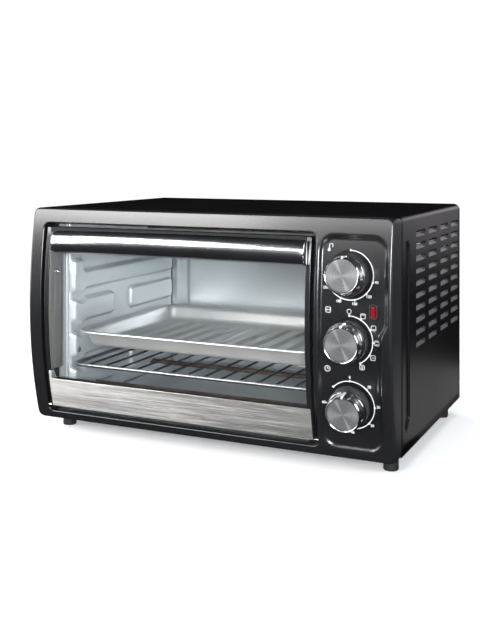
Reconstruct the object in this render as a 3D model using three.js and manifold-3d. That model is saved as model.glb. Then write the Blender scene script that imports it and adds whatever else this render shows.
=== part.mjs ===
// A countertop toaster oven: steel cabinet, bowed black fascia, drop-down glass door, three knobs.
// Millimetres, +Z up, the front faces -Y. The drawing frame has Z = 0 at the cabinet's underside and
// Y = 0 at the joint between fascia and cabinet; the whole group is moved to stand on its feet.
import * as THREE from 'three';
import { mergeVertices } from 'three/addons/utils/BufferGeometryUtils.js';
import Module from 'manifold-3d';

const wasm = await Module();
wasm.setup();

// Cabinet
const WIDTH = 460;
const HALF = WIDTH / 2;
const HEIGHT = 258;
const DEPTH = 285;
const CORNER = 8;
const SHEET = 1.2;
const GAP = 0.3;
const FOOT_HEIGHT = 21.3;
const FOOT_RADIUS = 8.4;
const FOOT_X = 211.7;
const FOOT_Y = [23.5, 259.7];
const LOUVRE_COLUMNS = [82, 139, 198, 254];
const LOUVRE_ROWS = 10;
const LOUVRE_TOP = 234;
const LOUVRE_PITCH = 13.85;
const LOUVRE_LENGTH = 40;
const LOUVRE_HEIGHT = 5;

// Fascia: its front is a bow, furthest forward at BOW_HEIGHT
const BOW_FRONT = 37;
const BOW_HEIGHT = 135;
const BOW_FALL_ABOVE = 11;
const BOW_FALL_BELOW = 19;
const FASCIA_BOTTOM = -3;
const FASCIA_WALL = 3;
const FASCIA_EDGE = 2.5;
const OPENING = { left: -212, right: 143.5, bottom: 7, top: 239, radius: 7 };
const JAMB = 2;
const PANEL = { left: 150, right: 223.5, bottom: 10, top: 236, radius: 16 };
const PANEL_SINK = 1.8;
const LAMP = { left: 205, right: 214.6, bottom: 151.4, top: 167.6, radius: 3.6 };

// Cooking space
const CAVITY = { left: -196, right: 132, front: 1.8, back: 262, bottom: 11, top: 240 };
const PAD_DEPTH = 6;
const SHELF_TOPS = [56, 100, 142];
const SHELF_BOTTOMS = [26, 68, 112];
const FRONT_PAD = [4, 98];
const REAR_PAD = [140, 256];
const ROD_RADIUS = 3.2;
const ROD_PLACES = {
  lower_element_front: [52, 28],
  lower_element_rear: [196, 28],
  upper_element_front: [60, 222],
  upper_element_rear: [190, 222],
};

// Door
const DOOR = { left: -207.5, right: 139.5, bottom: 14, top: 235 };
const STILE_WIDTH = 6;
const HINGE_Y = -18;
const HINGE_Z = 13.5;
const PIN_RADIUS = 2.5;
const GLASS_FRONT = -16.5;
const GLASS_BACK = -12.5;
const DOOR_BACK = -8;
const TOP_RAIL_BOTTOM = 207;
const TRIM_TOP = 49;
const TRIM_SHOULDER = 59;
const TRIM_SHEET = 0.85;
const HANDLE = { middle: -31, half: 167, bottom: 203.5, top: 234, depth: 11, stand: 25, bow: 11 };

// Controls: name and height of each shaft; all three stand square to the bowed panel
const DIAL_X = 183;
const DIALS = { temperature: 196, function: 127.5, timer: 58 };
const SKIRT_RADIUS = 22;
const CAP_RADIUS = 20.5;
const FACE_RADIUS = 17.2;
const SKIRT_LENGTH = 12.6;
const KNOB_LENGTH = 25.4;
const SHAFT_RADIUS = 3;

// Rack and tray
const RACK_Z = 61;
const RACK = { left: -192.5, right: 128.5, front: 4.5, back: 250 };
const RACK_FRAME_RADIUS = 2.5;
const RACK_WIRE_RADIUS = 1.5;
const RACK_WIRES = 13;
const TRAY = { left: -193, right: 129, front: 2.5, back: 243, rim: 103.4, depth: 21 };
const TRAY_RIBS = 11;

const LOOKS = {
  black_plastic: new THREE.MeshStandardMaterial({ color: 0x151517, roughness: 0.32, metalness: 0 }),
  black_paint: new THREE.MeshStandardMaterial({ color: 0x1b191c, roughness: 0.45, metalness: 0.1 }),
  steel: new THREE.MeshStandardMaterial({ color: 0xc4c8ca, roughness: 0.3, metalness: 0.9 }),
  brushed: new THREE.MeshStandardMaterial({ color: 0xb9b6b2, roughness: 0.35, metalness: 0.95 }),
  chrome: new THREE.MeshStandardMaterial({ color: 0xd8dadd, roughness: 0.08, metalness: 1 }),
  tray: new THREE.MeshStandardMaterial({ color: 0xb4b6b8, roughness: 0.4, metalness: 0.85 }),
  rod: new THREE.MeshStandardMaterial({ color: 0x5a4a40, roughness: 0.55, metalness: 0.5 }),
  ceramic: new THREE.MeshStandardMaterial({ color: 0xe6e0d4, roughness: 0.6, metalness: 0 }),
  glass: new THREE.MeshStandardMaterial({ color: 0xdfe8ea, roughness: 0.05, metalness: 0, opacity: 0.25,
    transparent: true }),
  lens: new THREE.MeshStandardMaterial({ color: 0xc81018, roughness: 0.15, metalness: 0 }),
  clear: new THREE.MeshStandardMaterial({ color: 0xe8ecec, roughness: 0.15, metalness: 0 }),
  foot: new THREE.MeshStandardMaterial({ color: 0x242326, roughness: 0.5, metalness: 0.1 }),
};

const oven = new THREE.Group();

// ---------- shape helpers ----------

/** A closed three.js geometry as a solid that can be joined and cut. */
function solid(geometry) {
  const bare = geometry.index ? geometry.toNonIndexed() : geometry.clone();
  bare.deleteAttribute('normal');
  bare.deleteAttribute('uv');
  const merged = mergeVertices(bare, 1e-4);
  const corners = merged.index.array;
  const kept = [];
  for (let i = 0; i < corners.length; i += 3) {
    const [a, b, c] = [corners[i], corners[i + 1], corners[i + 2]];
    if (a !== b && b !== c && c !== a) kept.push(a, b, c);
  }
  return new wasm.Manifold(new wasm.Mesh({
    numProp: 3,
    vertProperties: Float32Array.from(merged.attributes.position.array),
    triVerts: Uint32Array.from(kept),
  }));
}

const join = (...shapes) => wasm.Manifold.union(shapes.flat(3));
const cut = (shape, ...tools) => shape.subtract(join(tools));
const common = (a, b) => a.intersect(b);

const ACROSS = {
  x: new THREE.Matrix4().makeBasis(new THREE.Vector3(0, 1, 0), new THREE.Vector3(0, 0, 1),
    new THREE.Vector3(1, 0, 0)),
  y: new THREE.Matrix4().makeBasis(new THREE.Vector3(1, 0, 0), new THREE.Vector3(0, 0, 1),
    new THREE.Vector3(0, -1, 0)),
  z: new THREE.Matrix4(),
};

/** An outline pushed along x, y or z from low to high: its own axes are (y,z), (x,z) or (x,y). */
function prism(outline, axis, low, high, extra = {}) {
  const options = { depth: high - low, bevelEnabled: false, curveSegments: 3, ...extra };
  const geometry = new THREE.ExtrudeGeometry(outline, options);
  geometry.applyMatrix4(ACROSS[axis]);
  const start = { x: [low, 0, 0], y: [0, high, 0], z: [0, 0, low] }[axis];
  geometry.translate(...start);
  return solid(geometry);
}

function block(x0, x1, y0, y1, z0, z1) {
  const geometry = new THREE.BoxGeometry(x1 - x0, y1 - y0, z1 - z0);
  geometry.translate((x0 + x1) / 2, (y0 + y1) / 2, (z0 + z1) / 2);
  return solid(geometry);
}

function polygon(points) {
  return new THREE.Shape(points.map(([a, b]) => new THREE.Vector2(a, b)));
}

/** A rectangle with round corners; grow moves every side outwards. */
function rounded({ left, right, bottom, top, radius }, grow = 0) {
  const [x0, x1, z0, z1] = [left - grow, right + grow, bottom - grow, top + grow];
  const r = Math.max(radius + grow, 0.1);
  const outline = new THREE.Shape();
  outline.absarc(x1 - r, z1 - r, r, 0, Math.PI / 2);
  outline.absarc(x0 + r, z1 - r, r, Math.PI / 2, Math.PI);
  outline.absarc(x0 + r, z0 + r, r, Math.PI, Math.PI * 1.5);
  outline.absarc(x1 - r, z0 + r, r, Math.PI * 1.5, Math.PI * 2);
  outline.closePath();
  return outline;
}

function circle(a, b, radius) {
  const outline = new THREE.Shape();
  outline.absarc(a, b, radius, 0, Math.PI * 2);
  return outline;
}

/** A round bar along x, y or z, centred at (a, b) in the other two axes. */
function bar(radius, axis, low, high, a, b, sides = 16) {
  return prism(circle(a, b, radius), axis, low, high, { curveSegments: sides / 2 });
}

/** A profile of [radius, height] pairs spun about local +Y, then placed by a matrix. */
function spun(profile, matrix = new THREE.Matrix4(), sides = 24) {
  const points = profile.map(([r, h]) => new THREE.Vector2(r, h));
  const geometry = new THREE.LatheGeometry(points, sides);
  geometry.applyMatrix4(matrix);
  return solid(geometry);
}

function along(axis, x, y, z) {
  const turn = { x: [0, 0, -Math.PI / 2], y: [0, 0, 0], z: [Math.PI / 2, 0, 0] }[axis];
  const matrix = new THREE.Matrix4().makeRotationFromEuler(new THREE.Euler(...turn));
  return matrix.setPosition(x, y, z);
}

/** Adds one named sub-part to its group. */
function part(name, shape, look, parent = oven) {
  const { vertProperties, triVerts } = shape.getMesh();
  const geometry = new THREE.BufferGeometry();
  geometry.setAttribute('position', new THREE.BufferAttribute(vertProperties, 3));
  geometry.setIndex(new THREE.BufferAttribute(triVerts, 1));
  geometry.computeVertexNormals();
  const node = new THREE.Mesh(geometry, LOOKS[look].clone());
  node.name = name;
  parent.add(node);
}

// ---------- the bow ----------

/** Y of the fascia's front at a height: two parabolas that meet at BOW_HEIGHT. */
function bow(z) {
  const above = z > BOW_HEIGHT;
  const reach = above ? HEIGHT - BOW_HEIGHT : BOW_HEIGHT;
  const fall = above ? BOW_FALL_ABOVE : BOW_FALL_BELOW;
  return fall * ((z - BOW_HEIGHT) / reach) ** 2 - BOW_FRONT;
}

/** How far the bow leans back at a height, in radians from upright: up is positive. */
function lean(z) {
  return Math.atan((bow(z + 1) - bow(z - 1)) / 2);
}

/** Heights from low to high, closer together at a rounded end. */
function heights(low, high, round) {
  const steps = Math.max(2, Math.round((high - low) / 16));
  const list = [];
  for (let i = 0; i <= steps; i++) list.push(low + (high - low) * i / steps);
  if (round) {
    for (const share of [0.12, 0.4, 1]) list.push(low + round * share, high - round * share);
  }
  return list.sort((a, b) => a - b);
}

/** A side section (y, z) with the bow, set back by inset, in front and a flat back. */
function section(low, high, inset, back, round = 0) {
  const points = [[back, low], [back, high]];
  for (const z of heights(low, high, round).reverse()) {
    const edge = Math.min(z - low, high - z);
    const drop = edge < round ? round - Math.sqrt(round ** 2 - (round - edge) ** 2) : 0;
    points.push([bow(z) + inset + drop, z]);
  }
  return polygon(points);
}

/** A side section (y, z) of a sheet that follows the bow between two insets. */
function strip(low, high, outer, inner) {
  const levels = heights(low, high, 0);
  const front = levels.map((z) => [bow(z) + outer, z]);
  const rear = levels.reverse().map((z) => [bow(z) + inner, z]);
  return polygon([...front, ...rear]);
}

/** Places local +Y square to the bow at a dial, with the origin on the bow's front. */
function dialPlace(z) {
  return new THREE.Matrix4().makeRotationX(Math.PI - lean(z)).setPosition(DIAL_X, bow(z), z);
}

// ---------- cabinet ----------

function outerCover() {
  const shell = { left: -HALF, right: HALF, bottom: -20, top: HEIGHT, radius: CORNER };
  const outside = prism(rounded(shell), 'y', GAP, DEPTH);
  const inside = prism(rounded(shell, -SHEET), 'y', -5, DEPTH + 5);
  const below = block(-HALF - 5, HALF + 5, -5, DEPTH + 5, -30, 0);
  const body = cut(outside, inside, below);
  const groove = polygon([[14.5, 22], [33, 36], [33, 226], [14.5, 226]]);
  const doubler = polygon([[12.5, 18], [35, 34], [35, 228], [12.5, 228]]);
  const grooves = [];
  const doublers = [];
  for (const side of [-1, 1]) {
    const faces = [side * HALF, side * (HALF - 1.8), side * (HALF - 3), side * (HALF + 5)];
    doublers.push(prism(doubler, 'x', Math.min(faces[2], faces[0]), Math.max(faces[2], faces[0])));
    grooves.push(prism(groove, 'x', Math.min(faces[1], faces[3]), Math.max(faces[1], faces[3])));
  }
  const louvres = [];
  for (const y of LOUVRE_COLUMNS) {
    for (let row = 0; row < LOUVRE_ROWS; row++) {
      const z = LOUVRE_TOP - row * LOUVRE_PITCH;
      const [y0, y1] = [y - LOUVRE_LENGTH / 2, y + LOUVRE_LENGTH / 2];
      louvres.push(block(HALF - 5, HALF + 5, y0, y1, z - LOUVRE_HEIGHT / 2, z + LOUVRE_HEIGHT / 2));
    }
  }
  part('outer_cover', cut(join(body, doublers), grooves, louvres), 'black_paint');
}

const GLAND = { x: 190, z: 45, radius: 7 };
const VENT = { left: 152, pitch: 34, length: 26, bottom: 120, rise: 16, height: 4, rows: 6 };

function rearPanel() {
  const edge = SHEET + GAP;
  const outline = { left: -HALF, right: HALF, bottom: 0, top: HEIGHT, radius: CORNER };
  const plate = prism(rounded(outline, -edge), 'y', DEPTH - SHEET, DEPTH);
  const slots = [];
  for (let row = 0; row < VENT.rows; row++) {
    const z = VENT.bottom + row * VENT.rise;
    for (const x of [VENT.left, VENT.left + VENT.pitch]) {
      slots.push(block(x, x + VENT.length, DEPTH - 5, DEPTH + 5, z, z + VENT.height));
    }
  }
  const gland = bar(GLAND.radius + GAP, 'y', DEPTH - 5, DEPTH + 5, GLAND.x, GLAND.z);
  part('rear_panel', cut(plate, slots, gland), 'black_paint');
}

function basePan() {
  const edge = SHEET + GAP;
  const [x1, y0, y1] = [HALF - edge, 2, DEPTH - SHEET - GAP];
  const pan = cut(block(-x1, x1, y0, y1, 0, 9),
    block(SHEET - x1, x1 - SHEET, y0 - 5, y1 - SHEET, SHEET, 20));
  const slots = [];
  for (let column = 0; column < 5; column++) {
    for (const y of [80, 170]) slots.push(block(-150 + column * 50, -144 + column * 50, y, y + 50, -5, 5));
  }
  part('base_pan', cut(pan, slots), 'black_paint');
}

function feet() {
  const profile = [[0, -FOOT_HEIGHT], [FOOT_RADIUS - 0.6, -FOOT_HEIGHT], [FOOT_RADIUS, 0.6 - FOOT_HEIGHT],
    [FOOT_RADIUS, -4], [FOOT_RADIUS - 1.4, -GAP], [0, -GAP]];
  const names = { '-1': 'left', 1: 'right' };
  for (const side of [-1, 1]) {
    FOOT_Y.forEach((y, row) => {
      const place = along('z', side * FOOT_X, y, 0);
      part(`foot_${row ? 'rear' : 'front'}_${names[side]}`, spun(profile, place, 24), 'foot');
    });
  }
}

// ---------- fascia ----------

function frontFascia() {
  const front = { left: -HALF, right: HALF, bottom: FASCIA_BOTTOM, top: HEIGHT, radius: CORNER };
  const side = section(FASCIA_BOTTOM, HEIGHT, 0, 8, FASCIA_EDGE);
  const rolled = { bevelEnabled: true, bevelSize: FASCIA_EDGE, bevelThickness: FASCIA_EDGE,
    bevelOffset: -FASCIA_EDGE, bevelSegments: 3 };
  const bowed = prism(side, 'x', FASCIA_EDGE - HALF, HALF - FASCIA_EDGE, rolled);
  const outside = common(common(bowed, prism(rounded(front), 'y', -60, 20)),
    block(-HALF, HALF, -60, 0, FASCIA_BOTTOM, HEIGHT));
  const room = prism(section(FASCIA_BOTTOM, HEIGHT, FASCIA_WALL, 9), 'x', -HALF, HALF);
  const inside = common(room, prism(rounded(front, -FASCIA_WALL), 'y', -60, 20));
  const opening = prism(rounded(OPENING), 'y', -60, 20);
  const jamb = common(outside, cut(prism(rounded(OPENING, JAMB), 'y', -60, 0), opening));
  const floor = prism(section(FASCIA_BOTTOM - 5, HEIGHT + 5, PANEL_SINK, 9), 'x', -HALF, HALF);
  const recess = cut(prism(rounded(PANEL), 'y', -60, -5), floor);
  const holes = Object.values(DIALS).map((z) => {
    return spun([[0, -12], [SHAFT_RADIUS + 1, -12], [SHAFT_RADIUS + 1, 12], [0, 12]], dialPlace(z), 16);
  });
  const lamp = prism(rounded(LAMP), 'y', -60, -10);
  const pins = bar(PIN_RADIUS + GAP, 'x', OPENING.left - 4, OPENING.right + 4, HINGE_Y, HINGE_Z);
  part('front_fascia', cut(join(cut(outside, inside), jamb), opening, recess, holes, lamp, pins),
    'black_plastic');
}

function controlBracket() {
  const sheet = prism(strip(16, 236, 12, 12 + SHEET), 'x', 153, 221);
  const holes = Object.values(DIALS).map((z) => {
    return spun([[0, -20], [5.3, -20], [5.3, -5], [0, -5]], dialPlace(z), 16);
  });
  const lamp = prism(rounded(LAMP, 2), 'y', -40, -10);
  part('control_bracket', cut(sheet, holes, lamp), 'steel');
}

function indicator() {
  const front = bow((LAMP.bottom + LAMP.top) / 2);
  const window = prism(rounded(LAMP, -1.7), 'y', -60, 0);
  part('lamp_bezel', cut(prism(rounded(LAMP, -GAP), 'y', front + 0.2, front + 12), window), 'clear');
  part('lamp_lens', prism(rounded(LAMP, -2), 'y', front - 0.6, front + 9), 'lens');
  const bulb = [[0, 0], [2, 0.6], [2.6, 2.4], [2.6, 12], [0, 12]];
  const middle = (LAMP.left + LAMP.right) / 2;
  part('lamp_bulb', spun(bulb, along('y', middle, front + 9.4, (LAMP.bottom + LAMP.top) / 2), 12), 'clear');
}

// ---------- cooking space ----------

function frontFrame() {
  const outer = { left: -224, right: 148, bottom: 2.2, top: 254, radius: 5 };
  const mouth = { ...CAVITY, radius: 4 };
  const plate = cut(prism(rounded(outer), 'y', GAP, 1.5), prism(rounded(mouth, 1.4), 'y', -5, 10));
  part('cavity_front_frame', plate, 'steel');
}

/** A pressed shelf pad (y, z): a dip in its top and a nose under it catch the rack near the front. */
function padOutline([start, end], bottom, top, { dip = false, nose = false, ear = 0 }) {
  const c = 4;
  const points = [[start, bottom + c], [start, top + ear - c], [start + c, top + ear]];
  if (ear) points.push([20, top + ear], [28, top]);
  if (dip) points.push([start + 8, top], [20, top - 6], [32, top]);
  points.push([end - c, top], [end, top - c], [end, bottom + c], [end - c, bottom]);
  if (nose) points.push([34, bottom], [21, bottom - 4], [start + 7, bottom]);
  else points.push([start + c, bottom]);
  return polygon(points);
}

function sideWall(name, face, inward) {
  const outer = face - inward * SHEET;
  const [x0, x1] = [Math.min(face, outer), Math.max(face, outer)];
  const sheet = block(x0, x1, CAVITY.front, CAVITY.back - GAP, CAVITY.bottom, CAVITY.top);
  const lip = [outer - inward * 6, outer + inward * 0.5];
  const flange = block(Math.min(...lip), Math.max(...lip), CAVITY.front, CAVITY.front + SHEET,
    CAVITY.bottom, CAVITY.top);
  const pads = [padOutline([FRONT_PAD[0], REAR_PAD[1]], 152, 177, { nose: true, ear: 15 })];
  const pockets = [[FRONT_PAD[0] + 34, REAR_PAD[1], 152, 177]];
  SHELF_TOPS.forEach((top, level) => {
    const bottom = SHELF_BOTTOMS[level];
    pads.push(padOutline(FRONT_PAD, bottom, top, { dip: true, nose: level > 0 }));
    pads.push(padOutline(REAR_PAD, bottom, top, {}));
    pockets.push([FRONT_PAD[0] + 28, FRONT_PAD[1], bottom, top], [...REAR_PAD, bottom, top]);
  });
  const [rise, run] = [3.5, 3];
  const slope = {
    bevelEnabled: true, bevelSize: run, bevelThickness: rise, bevelOffset: -run, bevelSegments: 1,
  };
  const reach = face + inward * PAD_DEPTH;
  const [p0, p1] = [Math.min(outer, reach), Math.max(outer, reach)];
  const limit = block(p0, p1, CAVITY.front, CAVITY.back, 0, 300);
  const raised = pads.map((outline) => {
    const [x0, x1] = inward > 0 ? [p0 - PAD_DEPTH, p1 - rise] : [p0 + rise, p1 + PAD_DEPTH];
    return common(prism(outline, 'x', x0, x1, slope), limit);
  });
  const hollow = pockets.map(([y0, y1, z0, z1]) => {
    const back = [outer - inward * 5, reach - inward * (SHEET + 0.2)];
    return block(Math.min(...back), Math.max(...back), y0 + 5, y1 - 5, z0 + 5, z1 - 5);
  });
  const holes = Object.values(ROD_PLACES).map(([y, z]) => bar(5.5, 'x', face - 12, face + 12, y, z, 12));
  const screw = bar(2, 'x', face - 12, face + 12, 12, 78, 12);
  part(name, cut(join(sheet, flange, raised), hollow, holes, screw), 'steel');
}

function cavityShell() {
  sideWall('cavity_left_wall', CAVITY.left, 1);
  sideWall('cavity_right_wall', CAVITY.right, -1);
  const { left, right, front, back, bottom, top } = CAVITY;
  const roofRib = block(-150, 86, 110, 140, top - 3, top + 1);
  const roof = join(block(left - SHEET, right + SHEET, front, back, top + GAP, top + GAP + SHEET), roofRib);
  part('cavity_roof', roof, 'steel');
  const floorTop = bottom - GAP;
  const floor = block(left - SHEET, right + SHEET, front, back, floorTop - SHEET, floorTop);
  part('cavity_floor', floor, 'steel');
  const plate = block(left + GAP, right - GAP, back, back + SHEET, bottom, top);
  const rim = { left: left + 30, right: right - 30, bottom: bottom + 28, top: top - 26, radius: 12 };
  const pressed = prism(rounded(rim), 'y', back - 3, back + SHEET);
  const behind = prism(rounded(rim, -SHEET), 'y', back - 3 + SHEET, back + 10);
  part('cavity_back', cut(join(plate, pressed), behind), 'steel');
}

function elements() {
  const [left, right] = [CAVITY.left - SHEET, CAVITY.right + SHEET];
  const tip = 16;
  const rod = [[0, left - tip], [1.8, left - tip], [1.8, left - 9], [ROD_RADIUS, left - 9],
    [ROD_RADIUS, right + 9], [1.8, right + 9], [1.8, right + tip], [0, right + tip]];
  const bead = [[ROD_RADIUS + GAP, -SHEET - 2], [5.2, -SHEET - 2], [5.2, GAP], [8, GAP], [8, 6],
    [ROD_RADIUS + GAP, 6], [ROD_RADIUS + GAP, -SHEET - 2]];
  for (const [name, [y, z]] of Object.entries(ROD_PLACES)) {
    part(name, spun(rod, along('x', 0, y, z), 12), 'rod');
    const outwardRight = along('x', right, y, z);
    const outwardLeft = new THREE.Matrix4().makeRotationZ(Math.PI / 2).setPosition(left, y, z);
    part(name.replace('element', 'insulator') + '_right', spun(bead, outwardRight, 12), 'ceramic');
    part(name.replace('element', 'insulator') + '_left', spun(bead, outwardLeft, 12), 'ceramic');
  }
}

function wallScrews() {
  const profile = [[0, -7], [1.6, -7], [1.6, 0.2], [3.6, 0.2], [3, 1.6], [0, 2.1]];
  const reach = PAD_DEPTH;
  const right = new THREE.Matrix4().makeRotationZ(Math.PI / 2).setPosition(CAVITY.right - reach, 12, 78);
  part('wall_screw_left', spun(profile, along('x', CAVITY.left + reach, 12, 78), 12), 'chrome');
  part('wall_screw_right', spun(profile, right, 12), 'chrome');
}

// ---------- door ----------

function stile(name, x0, x1, glassSide) {
  const column = prism(section(DOOR.bottom, DOOR.top, GAP, DOOR_BACK, 1.2), 'x', x0, x1);
  const rebate = glassSide > 0 ? [x0 + 2.2, x1 + 5] : [x0 - 5, x1 - 2.2];
  const channel = block(...rebate, GLASS_FRONT - GAP, 20, 0, 300);
  const pin = bar(PIN_RADIUS + GAP, 'x', x0 - 5, x1 + 5, HINGE_Y, HINGE_Z);
  const knuckle = prism(circle(HINGE_Y + 0.3, HINGE_Z, 3.8), 'x', x0, x1, { curveSegments: 8 });
  part(name, cut(join(cut(column, channel), knuckle), pin), 'black_plastic');
}

function doorFrame() {
  stile('door_stile_left', DOOR.left, DOOR.left + STILE_WIDTH, 1);
  stile('door_stile_right', DOOR.right - STILE_WIDTH, DOOR.right, -1);
  const [inner0, inner1] = [DOOR.left + STILE_WIDTH + GAP, DOOR.right - STILE_WIDTH - GAP];
  const top = prism(section(TOP_RAIL_BOTTOM, DOOR.top, GAP, GLASS_FRONT - GAP, 1.2), 'x', inner0, inner1);
  part('door_top_rail', top, 'black_plastic');
  const turn = TRIM_SHEET + GAP;
  const low = section(DOOR.bottom + 3, TRIM_TOP - 0.6, GAP, GLASS_FRONT - GAP, 0);
  part('door_bottom_rail', prism(low, 'x', inner0 + turn, inner1 - turn), 'black_plastic');
  const clear = 2.6 + GAP;
  const glass = block(DOOR.left + clear, DOOR.right - clear, GLASS_FRONT, GLASS_BACK,
    DOOR.bottom + 7, DOOR.top - 2);
  part('door_glass', glass, 'glass');
}

function doorTrim() {
  const [left, right] = [DOOR.left + 3.5, DOOR.right - 1.5];
  const [turnLeft, turnRight] = [DOOR.left + STILE_WIDTH + GAP, DOOR.right - STILE_WIDTH - GAP];
  const sheet = prism(strip(DOOR.bottom, TRIM_TOP, -TRIM_SHEET, -0.05), 'x', left, right);
  const shoulder = prism(strip(TRIM_TOP - 5, TRIM_SHOULDER, -TRIM_SHEET, -0.05), 'x', left,
    turnLeft + TRIM_SHEET);
  const back = GLASS_FRONT - 1;
  const returns = [[turnLeft, TRIM_SHOULDER], [turnRight - TRIM_SHEET, TRIM_TOP]].map(([x, high]) => {
    return prism(section(DOOR.bottom + 4, high, -TRIM_SHEET, back), 'x', x, x + TRIM_SHEET);
  });
  const fall = polygon([[back + 1, TRIM_TOP], [back - 7, TRIM_TOP + 1], [-40, TRIM_SHOULDER + 1],
    [back + 1, TRIM_SHOULDER + 1]]);
  const slope = prism(fall, 'x', turnLeft - 0.1, turnLeft + 2);
  part('door_trim', join(sheet, shoulder, cut(returns[0], slope), returns[1]), 'brushed');
}

/** The bar's plan line: y of its front face at x. */
function handleFront(x) {
  const crown = bow((HANDLE.bottom + HANDLE.top) / 2) - HANDLE.stand;
  return crown + HANDLE.bow * ((x - HANDLE.middle) / HANDLE.half) ** 2;
}

function handlePlan(inset, deep) {
  const steps = 12;
  const front = [];
  const rear = [];
  for (let i = 0; i <= steps; i++) {
    const x = HANDLE.middle + HANDLE.half * (2 * i / steps - 1);
    front.push([x, handleFront(x) + inset]);
    rear.unshift([x, handleFront(x) + deep]);
  }
  return polygon([...front, ...rear]);
}

function handle() {
  const round = { bevelEnabled: true, bevelSize: 8, bevelThickness: 11, bevelOffset: -8, bevelSegments: 5 };
  const { bottom, top, depth } = HANDLE;
  const full = prism(handlePlan(0, 30), 'z', bottom + 11, top - 11, round);
  const behind = prism(handlePlan(depth, 60), 'z', bottom - 5, top + 5);
  part('handle_bar', cut(full, behind), 'chrome');
  const reach = HANDLE.half - 12;
  for (const [name, side] of [['left', -1], ['right', 1]]) {
    const x = HANDLE.middle + side * reach;
    const post = prism(strip(211, 229, -20, 0), 'x', x - 9, x + 9);
    const seat = prism(handlePlan(-30, depth + GAP), 'z', 150, 300);
    part(`handle_bracket_${name}`, cut(post, seat), 'black_plastic');
  }
}

function doorPins() {
  const deep = STILE_WIDTH - 1;
  const { left, right } = DOOR;
  part('hinge_pin_left', bar(PIN_RADIUS, 'x', left - 8.5, left + deep, HINGE_Y, HINGE_Z), 'chrome');
  part('hinge_pin_right', bar(PIN_RADIUS, 'x', right - deep, right + 8, HINGE_Y, HINGE_Z), 'chrome');
  const stud = [[0, 0], [1.2, 0], [1.2, 4], [2, 4.6], [2.4, 6], [2, 7.4], [0, 8.2]];
  part('door_stud', spun(stud, along('x', left + STILE_WIDTH + GAP, -24, 180), 12), 'chrome');
}

// ---------- knobs and what they turn ----------

const KNOB_BACK = 0.4 - PANEL_SINK + 1.2;

function knob(name, z) {
  const group = new THREE.Group();
  group.applyMatrix4(dialPlace(z));
  oven.add(group);
  const bore = SHAFT_RADIUS + GAP;
  const body = spun([[bore, KNOB_BACK], [SKIRT_RADIUS, KNOB_BACK], [SKIRT_RADIUS, 8],
    [SKIRT_RADIUS - 1, SKIRT_LENGTH], [13.5, SKIRT_LENGTH], [13.5, 21.5], [0, 21.5], [0, 10.6],
    [bore, 10.6], [bore, KNOB_BACK]]);
  part(`${name}_knob`, body, 'black_plastic', group);
  const cap = spun([[13.8, SKIRT_LENGTH + GAP], [CAP_RADIUS, SKIRT_LENGTH + GAP], [CAP_RADIUS, 14.4],
    [FACE_RADIUS + 0.8, KNOB_LENGTH - 0.8], [FACE_RADIUS, KNOB_LENGTH],
    [FACE_RADIUS - 0.8, KNOB_LENGTH - 0.5], [0, KNOB_LENGTH - 0.5], [0, 21.8], [13.8, 21.8], [13.8, SKIRT_LENGTH + GAP]]);
  const mark = block(-1.3, 1.3, 11, 30, -CAP_RADIUS - 2, -FACE_RADIUS - 0.6);
  part(`${name}_knob_cap`, cut(cap, mark), 'chrome', group);
  const shaft = spun([[0, -26], [SHAFT_RADIUS, -26], [SHAFT_RADIUS, 10.2], [0, 10.2]], undefined, 16);
  part(`${name}_shaft`, shaft, 'steel', group);
  return group;
}

/** A switch body behind the bracket, in its dial's own frame: w is its width, d how deep it is. */
function control(name, look, group, w, h, d, extra) {
  const collar = spun([[SHAFT_RADIUS + GAP, -17], [5, -17], [5, -11], [SHAFT_RADIUS + GAP, -11],
    [SHAFT_RADIUS + GAP, -17]], undefined, 16);
  const seat = -14.6;
  const body = block(-w / 2, w / 2, seat - d, seat, -h / 2, h / 2);
  const bore = spun([[0, -27], [SHAFT_RADIUS + GAP, -27], [SHAFT_RADIUS + GAP, 0], [0, 0]], undefined, 16);
  part(name, cut(join(body, collar, extra), bore), look, group);
}

function controls() {
  const groups = {};
  for (const [name, z] of Object.entries(DIALS)) groups[name] = knob(name, z);
  const plug = block(-6, 6, -38, -34, 8, 14);
  const contacts = join(plug, block(-6, 6, -44, -33, -14, 14));
  control('thermostat', 'ceramic', groups.temperature, 34, 30, 20, contacts);
  control('selector_switch', 'steel', groups.function, 32, 32, 18, block(-12, 12, -38, -32, -3, 3));
  const bell = spun([[0, -52], [12, -51], [18, -47], [20, -42], [0, -42]], undefined, 20);
  control('timer', 'steel', groups.timer, 42, 38, 28, bell);
}

function mains() {
  const { x, z, radius } = GLAND;
  const gland = spun([[0, -10], [5, -10], [radius, -6], [radius, GAP], [radius + 3, GAP],
    [radius + 3, 2.4], [5.5, 6], [0, 6]], along('y', x, DEPTH, z), 20);
  part('cord_gland', gland, 'black_plastic');
  const base = block(172, 208, 236, 256, SHEET + GAP, 16);
  const posts = [180, 190, 200].map((at) => bar(3, 'z', 14, 21, at, 246, 12));
  part('terminal_block', join(base, posts), 'ceramic');
}

// ---------- rack and tray ----------

function rack() {
  const { left, right, front, back } = RACK;
  const r = RACK_FRAME_RADIUS;
  const turn = 10;
  const parts = [rackFrame(left, right, front, back, r, turn)];
  for (let i = 0; i < RACK_WIRES; i++) {
    const x = left + (right - left) * (i + 1) / (RACK_WIRES + 1);
    parts.push(bar(RACK_WIRE_RADIUS, 'y', front, back, x, RACK_Z + 1.2, 6));
  }
  part('wire_rack', join(parts), 'chrome');
}

function rackFrame(left, right, front, back, r, turn) {
  const outline = { left: left - r, right: right + r, bottom: front - r, top: back + r, radius: turn };
  const slab = prism(rounded(outline), 'z', RACK_Z - r, RACK_Z + r);
  return cut(slab, prism(rounded(outline, -2 * r), 'z', RACK_Z - 9, RACK_Z + 9));
}

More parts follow.
